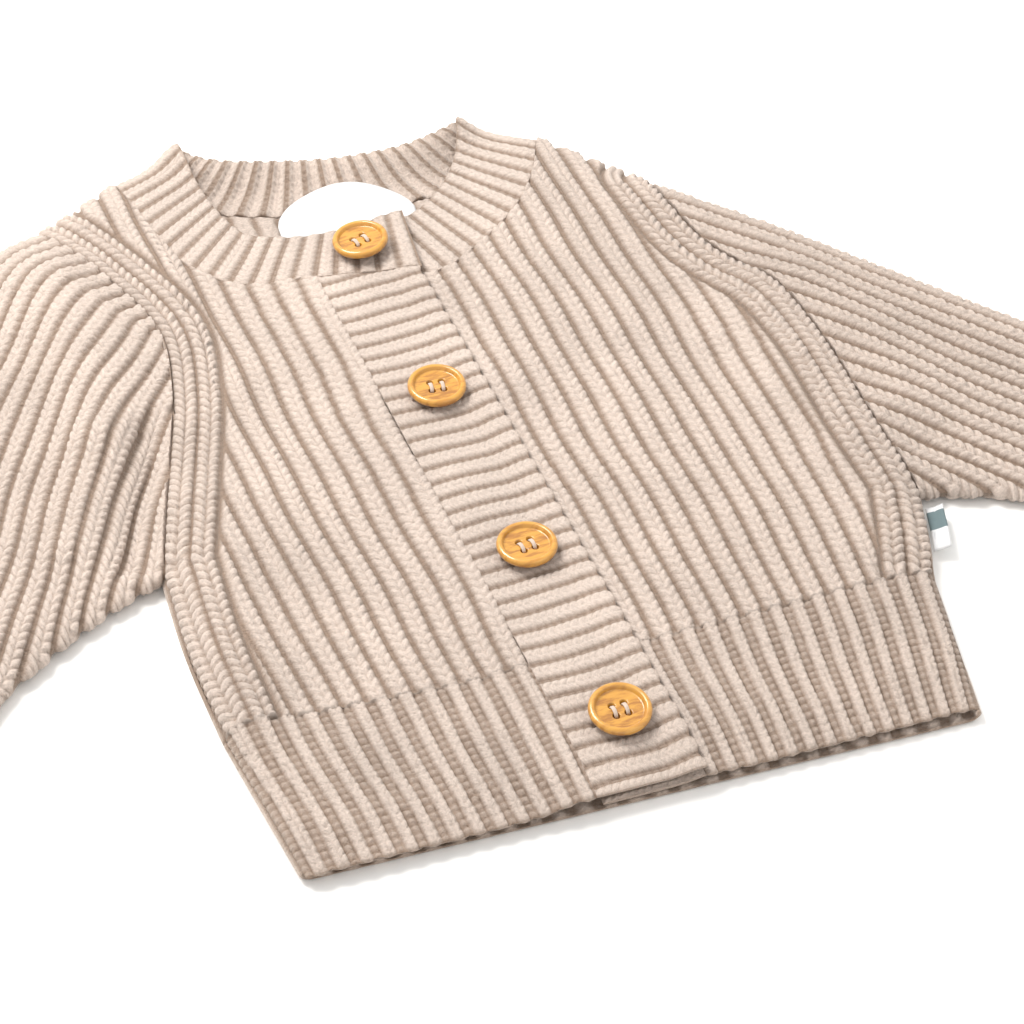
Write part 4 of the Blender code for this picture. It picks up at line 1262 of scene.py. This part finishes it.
def strand(start, end, rise, radius, sides=10, count=14):
    """Tube on an arc from one hole to the other: z = rise sqrt(sin(pi t)), with closed ends."""
    t = np.linspace(0, 1, count)[:, None]
    arc = start + (end - start) * t + np.array([0, 0, 1.0]) * rise * np.sin(math.pi * t) ** 0.5
    along = np.gradient(arc, axis=0)
    along /= np.linalg.norm(along, axis=1, keepdims=True)
    side = np.cross(along, [0, 0, 1.0])
    side /= np.linalg.norm(side, axis=1, keepdims=True)
    up = np.cross(side, along)
    a = np.linspace(0, 2 * math.pi, sides, endpoint=False)
    wall = arc[:, None] + radius * (side[:, None] * np.cos(a)[:, None] + up[:, None] * np.sin(a)[:, None])
    points = np.vstack([wall.reshape(-1, 3), arc[0], arc[-1]])
    grid = np.arange(count * sides).reshape(count, sides)
    first, last = grid[0], grid[-1]
    caps = np.vstack([np.stack([np.roll(first, -1), first, np.full(sides, grid.size)], axis=1),
                      np.stack([last, np.roll(last, -1), np.full(sides, grid.size + 1)], axis=1)])
    return points, quads(grid, True), caps


def make_threads():
    """Two stitches of three strands on each button, in one mesh."""
    points, fours, threes, count = [], [], [], 0
    dish = 0.56 * BUTTON_THICK
    for row in BUTTONS:
        turn, place = button_place(row)
        for x in (-HOLE_REACH, HOLE_REACH):
            for shift in STRAND_SHIFTS:
                start = np.array([x + 0.7 * shift, -HOLE_REACH - 0.1, dish - STRAND_SINK])
                end = np.array([x + shift, HOLE_REACH + 0.1, dish - STRAND_SINK])
                p, q, tri = strand(start, end, STRAND_RISE - 0.3 * abs(shift), THREAD_RADIUS)
                points.append(p @ turn.T + place + PLAN_PLACE)
                fours.append(q + count)
                threes.append(tri + count)
                count += len(p)
    points, fours, threes = np.vstack(points), np.vstack(fours), np.vstack(threes)
    if volume(points, fours, threes) < 0:
        fours, threes = fours[:, ::-1], threes[:, ::-1]
    mesh = bpy.data.meshes.new("thread_buttons")
    fill_mesh(mesh, points, fours, threes)
    mesh.materials.append(thread_material())
    made = bpy.data.objects.new("thread_buttons", mesh)
    bpy.context.scene.collection.objects.link(made)
    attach(made, "root")
    print("thread:", len(points), "points")


make_threads()

# %% [markdown]
# ## The labels
# A half-oval of smooth white tape is sewn inside the back neck, and a small folded tab with a plain
# slate band stands out of the side seam under the wearer's left arm.  Neither carries
# lettering or a mark.

# %% Labels
TAPE_WHITE, TAPE_GREY, SLATE = (0.66, 0.665, 0.67, 1.0), (0.58, 0.585, 0.59, 1.0), (0.105, 0.155, 0.165, 1.0)
SLATE_MIDDLE, SLATE_HALF = 0.66, 0.22       # the slate band, as shares of the tab along the seam
NECK_LABEL_SIZE, NECK_LABEL_PLACE = (46.0, 25.0), (5.0, 259.0)
NECK_LABEL_TURN, NECK_LABEL_THICK, SIDE_LABEL_THICK = -6, 0.6, 1.0
SIDE_LABEL_OUT = (0.94, -0.34)              # the way the tab points, out of the seam
SIDE_LABEL_REACH, SIDE_LABEL_START = 5.0, 1.6


def tape_material(name, banded):
    """White tape with a fine weave, and a slate band across if banded."""
    made, tree, shader = new_material(name, Roughness=0.55, Sheen_Weight=0.1)
    uv = tree.nodes.new("ShaderNodeUVMap")
    uv.uv_map = "ribs_and_rows"
    weave = tree.nodes.new("ShaderNodeTexChecker")
    weave.inputs["Scale"].default_value = 120.0
    link(tree, uv.outputs[0], weave.inputs["Vector"])
    white = mix_colours(tree, weave.outputs["Fac"], TAPE_WHITE, TAPE_GREY)
    if banded:
        parts = tree.nodes.new("ShaderNodeSeparateXYZ")
        link(tree, uv.outputs[0], parts.inputs[0])
        away = math_node(tree, "ABSOLUTE", math_node(tree, "SUBTRACT", parts.outputs[1], SLATE_MIDDLE))
        band = math_node(tree, "LESS_THAN", away, SLATE_HALF)
        white = mix_colours(tree, band, white, SLATE)
    link(tree, white, shader.inputs["Base Color"])
    bump = tree.nodes.new("ShaderNodeBump")
    bump.inputs["Strength"].default_value = 0.3
    bump.inputs["Distance"].default_value = 0.0001
    link(tree, weave.outputs["Fac"], bump.inputs["Height"])
    link(tree, bump.outputs[0], shader.inputs["Normal"])
    return made


def make_tape(name, plan, height, thick, uv, material):
    """Closed shell: half its thickness to each side of its middle surface, thinner at the rim."""
    mid, normal = surface(plan, height)
    half = thick / 2 * rim(mid, thick, 0.4)[..., None]
    rows, columns = np.arange(mid.shape[0]), np.arange(mid.shape[1])
    made = shell(name, mid + normal * half, mid - normal * half, rows, columns, uv, half[..., 0], material)
    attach(made, "root")


def make_neck_label():
    """Half-oval: tall (0.25 + 0.75 sqrt(1 - (0.985 x)^2))."""
    wide, tall = NECK_LABEL_SIZE
    turn = math.radians(NECK_LABEL_TURN)
    across = np.linspace(-1, 1, 47)
    top = np.sqrt(1 - (0.985 * across) ** 2)
    s, t = np.meshgrid(across, np.linspace(0, 1, 26))
    flat = np.stack([s * wide / 2, t * (0.25 + 0.75 * top)[None, :] * tall], axis=-1)
    spin = np.array([[math.cos(turn), -math.sin(turn)], [math.sin(turn), math.cos(turn)]])
    plan = np.array(NECK_LABEL_PLACE) + flat @ spin.T
    height = 3.9 + neck_stand(plan) + 0.12 * np.sin(flat[..., 0] / 4.0)
    make_tape("tape_neck_label", plan, height, NECK_LABEL_THICK, np.stack([s, t], axis=-1),
              tape_material("white tape", False))


def make_side_label():
    """Tab = root + s out, curling up as it goes out."""
    root = read_along(side_seam("left"), np.linspace(0.34, 0.86, 22))
    out = np.array(SIDE_LABEL_OUT)
    s, t = np.meshgrid(np.linspace(0, 1, 12), np.linspace(0, 1, 22))
    plan = root[:, None] + out * (SIDE_LABEL_START + SIDE_LABEL_REACH * s)[..., None]
    height = 3.4 + 2.2 * s ** 1.5 + 0.3 * np.sin(t * 5.0)
    make_tape("tape_side_label", plan, height, SIDE_LABEL_THICK, np.stack([s, t], axis=-1),
              tape_material("banded tape", True))


make_neck_label()
make_side_label()

# %% [markdown]
# ## Which solid each piece stands for, and the cloth's cut
# Every knitted piece and label replaces its own plain solid, which is hidden.
# Its flat size in metres is its drafted extent plus the arc of its folds: a sleeve or cuff all round,
# and the side tab unfolded.

# %% Replacing, and the table of cuts
CUTS = [
    {"piece": "panel_back", "node": "back", "flat": (0.228, 0.262), "rests_on": []},
    {"piece": "rib_hem_back", "node": "hem_rib_back", "flat": (0.214, 0.056), "rests_on": []},
    {"piece": "panel_front_right", "node": "front_right", "flat": (0.090, 0.258),
     "rests_on": ["panel_back"]},
    {"piece": "panel_front_left", "node": "front_left", "flat": (0.110, 0.238), "rests_on": ["panel_back"]},
    {"piece": "rib_hem_front_right", "node": "hem_rib_front_right", "flat": (0.090, 0.056),
     "rests_on": ["rib_hem_back"]},
    {"piece": "rib_hem_front_left", "node": "hem_rib_front_left", "flat": (0.096, 0.054),
     "rests_on": ["rib_hem_back"]},
    {"piece": "tube_sleeve_right", "node": "sleeve_right", "flat": (0.250, 0.190), "rests_on": []},
    {"piece": "tube_sleeve_left", "node": "sleeve_left", "flat": (0.200, 0.194), "rests_on": []},
    {"piece": "rib_cuff_right", "node": "cuff_rib_right", "flat": (0.130, 0.041), "rests_on": []},
    {"piece": "rib_cuff_left", "node": "cuff_rib_left", "flat": (0.140, 0.041), "rests_on": []},
    {"piece": "band_buttonholes", "node": "buttonhole_band", "flat": (0.032, 0.233),
     "rests_on": ["band_buttons"]},
    {"piece": "band_buttons", "node": "button_band", "flat": (0.030, 0.233), "rests_on": ["panel_back"]},
    {"piece": "band_neck", "node": "neckband", "flat": (0.025, 0.400), "rests_on": ["panel_back"]},
    {"piece": "tape_neck_label", "node": "neck_label", "flat": (0.046, 0.025), "rests_on": ["panel_back"]},
    {"piece": "tape_side_label", "node": "side_label", "flat": (0.012, 0.018), "rests_on": []},
]
for cut in CUTS:
    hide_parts(cut["node"])

# %% [markdown]
# ## Surface and light
# The garment lies on a plain pale surface in bright, soft light.  The main light is above, behind the
# neck and to the wearer's right, so that the furrows of the ribs read; a wide fill light and a white
# sky keep the surface nearly white.

# %% Floor, world and lights
KEY_WATTS, FILL_WATTS, SKY = 10.5, 4.0, 1.0
KEY_PLACE, KEY_SIZE, KEY_COLOUR = (-0.32, 0.34, 0.78), 0.5, (1.0, 0.98, 0.955)
FILL_PLACE, FILL_SIZE, FILL_COLOUR = (0.9, -1.2, 1.6), 1.6, (1.0, 0.97, 0.94)


def add_floor():
    """A plain square."""
    mesh = bpy.data.meshes.new("floor")
    mesh.from_pydata([(-4, -4, 0), (4, -4, 0), (4, 4, 0), (-4, 4, 0)], [], [(0, 1, 2, 3)])
    pale = new_material("pale surface", Roughness=0.9, Specular_IOR_Level=0.1,
                        Base_Color=(0.94, 0.935, 0.92, 1.0))[0]
    mesh.materials.append(pale)
    floor = bpy.data.objects.new("floor", mesh)
    bpy.context.scene.collection.objects.link(floor)


def add_light(name, place, size, watts, colour):
    """Round area light that aims at the origin."""
    data = bpy.data.lights.new(name, "AREA")
    data.shape, data.size, data.energy, data.color = "DISK", size, watts, colour
    made = bpy.data.objects.new(name, data)
    made.location = place
    aim = -np.array(place)
    made.rotation_euler = Vector(aim).to_track_quat("-Z", "Y").to_euler()
    bpy.context.scene.collection.objects.link(made)


def set_sky():
    """An even, nearly white sky."""
    world = bpy.data.worlds.new("soft room")
    world.use_nodes = True
    back = world.node_tree.nodes["Background"]
    back.inputs[0].default_value = (1.0, 0.995, 0.985, 1.0)
    back.inputs[1].default_value = SKY
    bpy.context.scene.world = world


add_floor()
set_sky()
add_light("window light", KEY_PLACE, KEY_SIZE, KEY_WATTS, KEY_COLOUR)
add_light("fill light", FILL_PLACE, FILL_SIZE, FILL_WATTS, FILL_COLOUR)
bpy.context.scene.view_settings.view_transform = "Standard"
bpy.context.scene.view_settings.exposure = 0.0
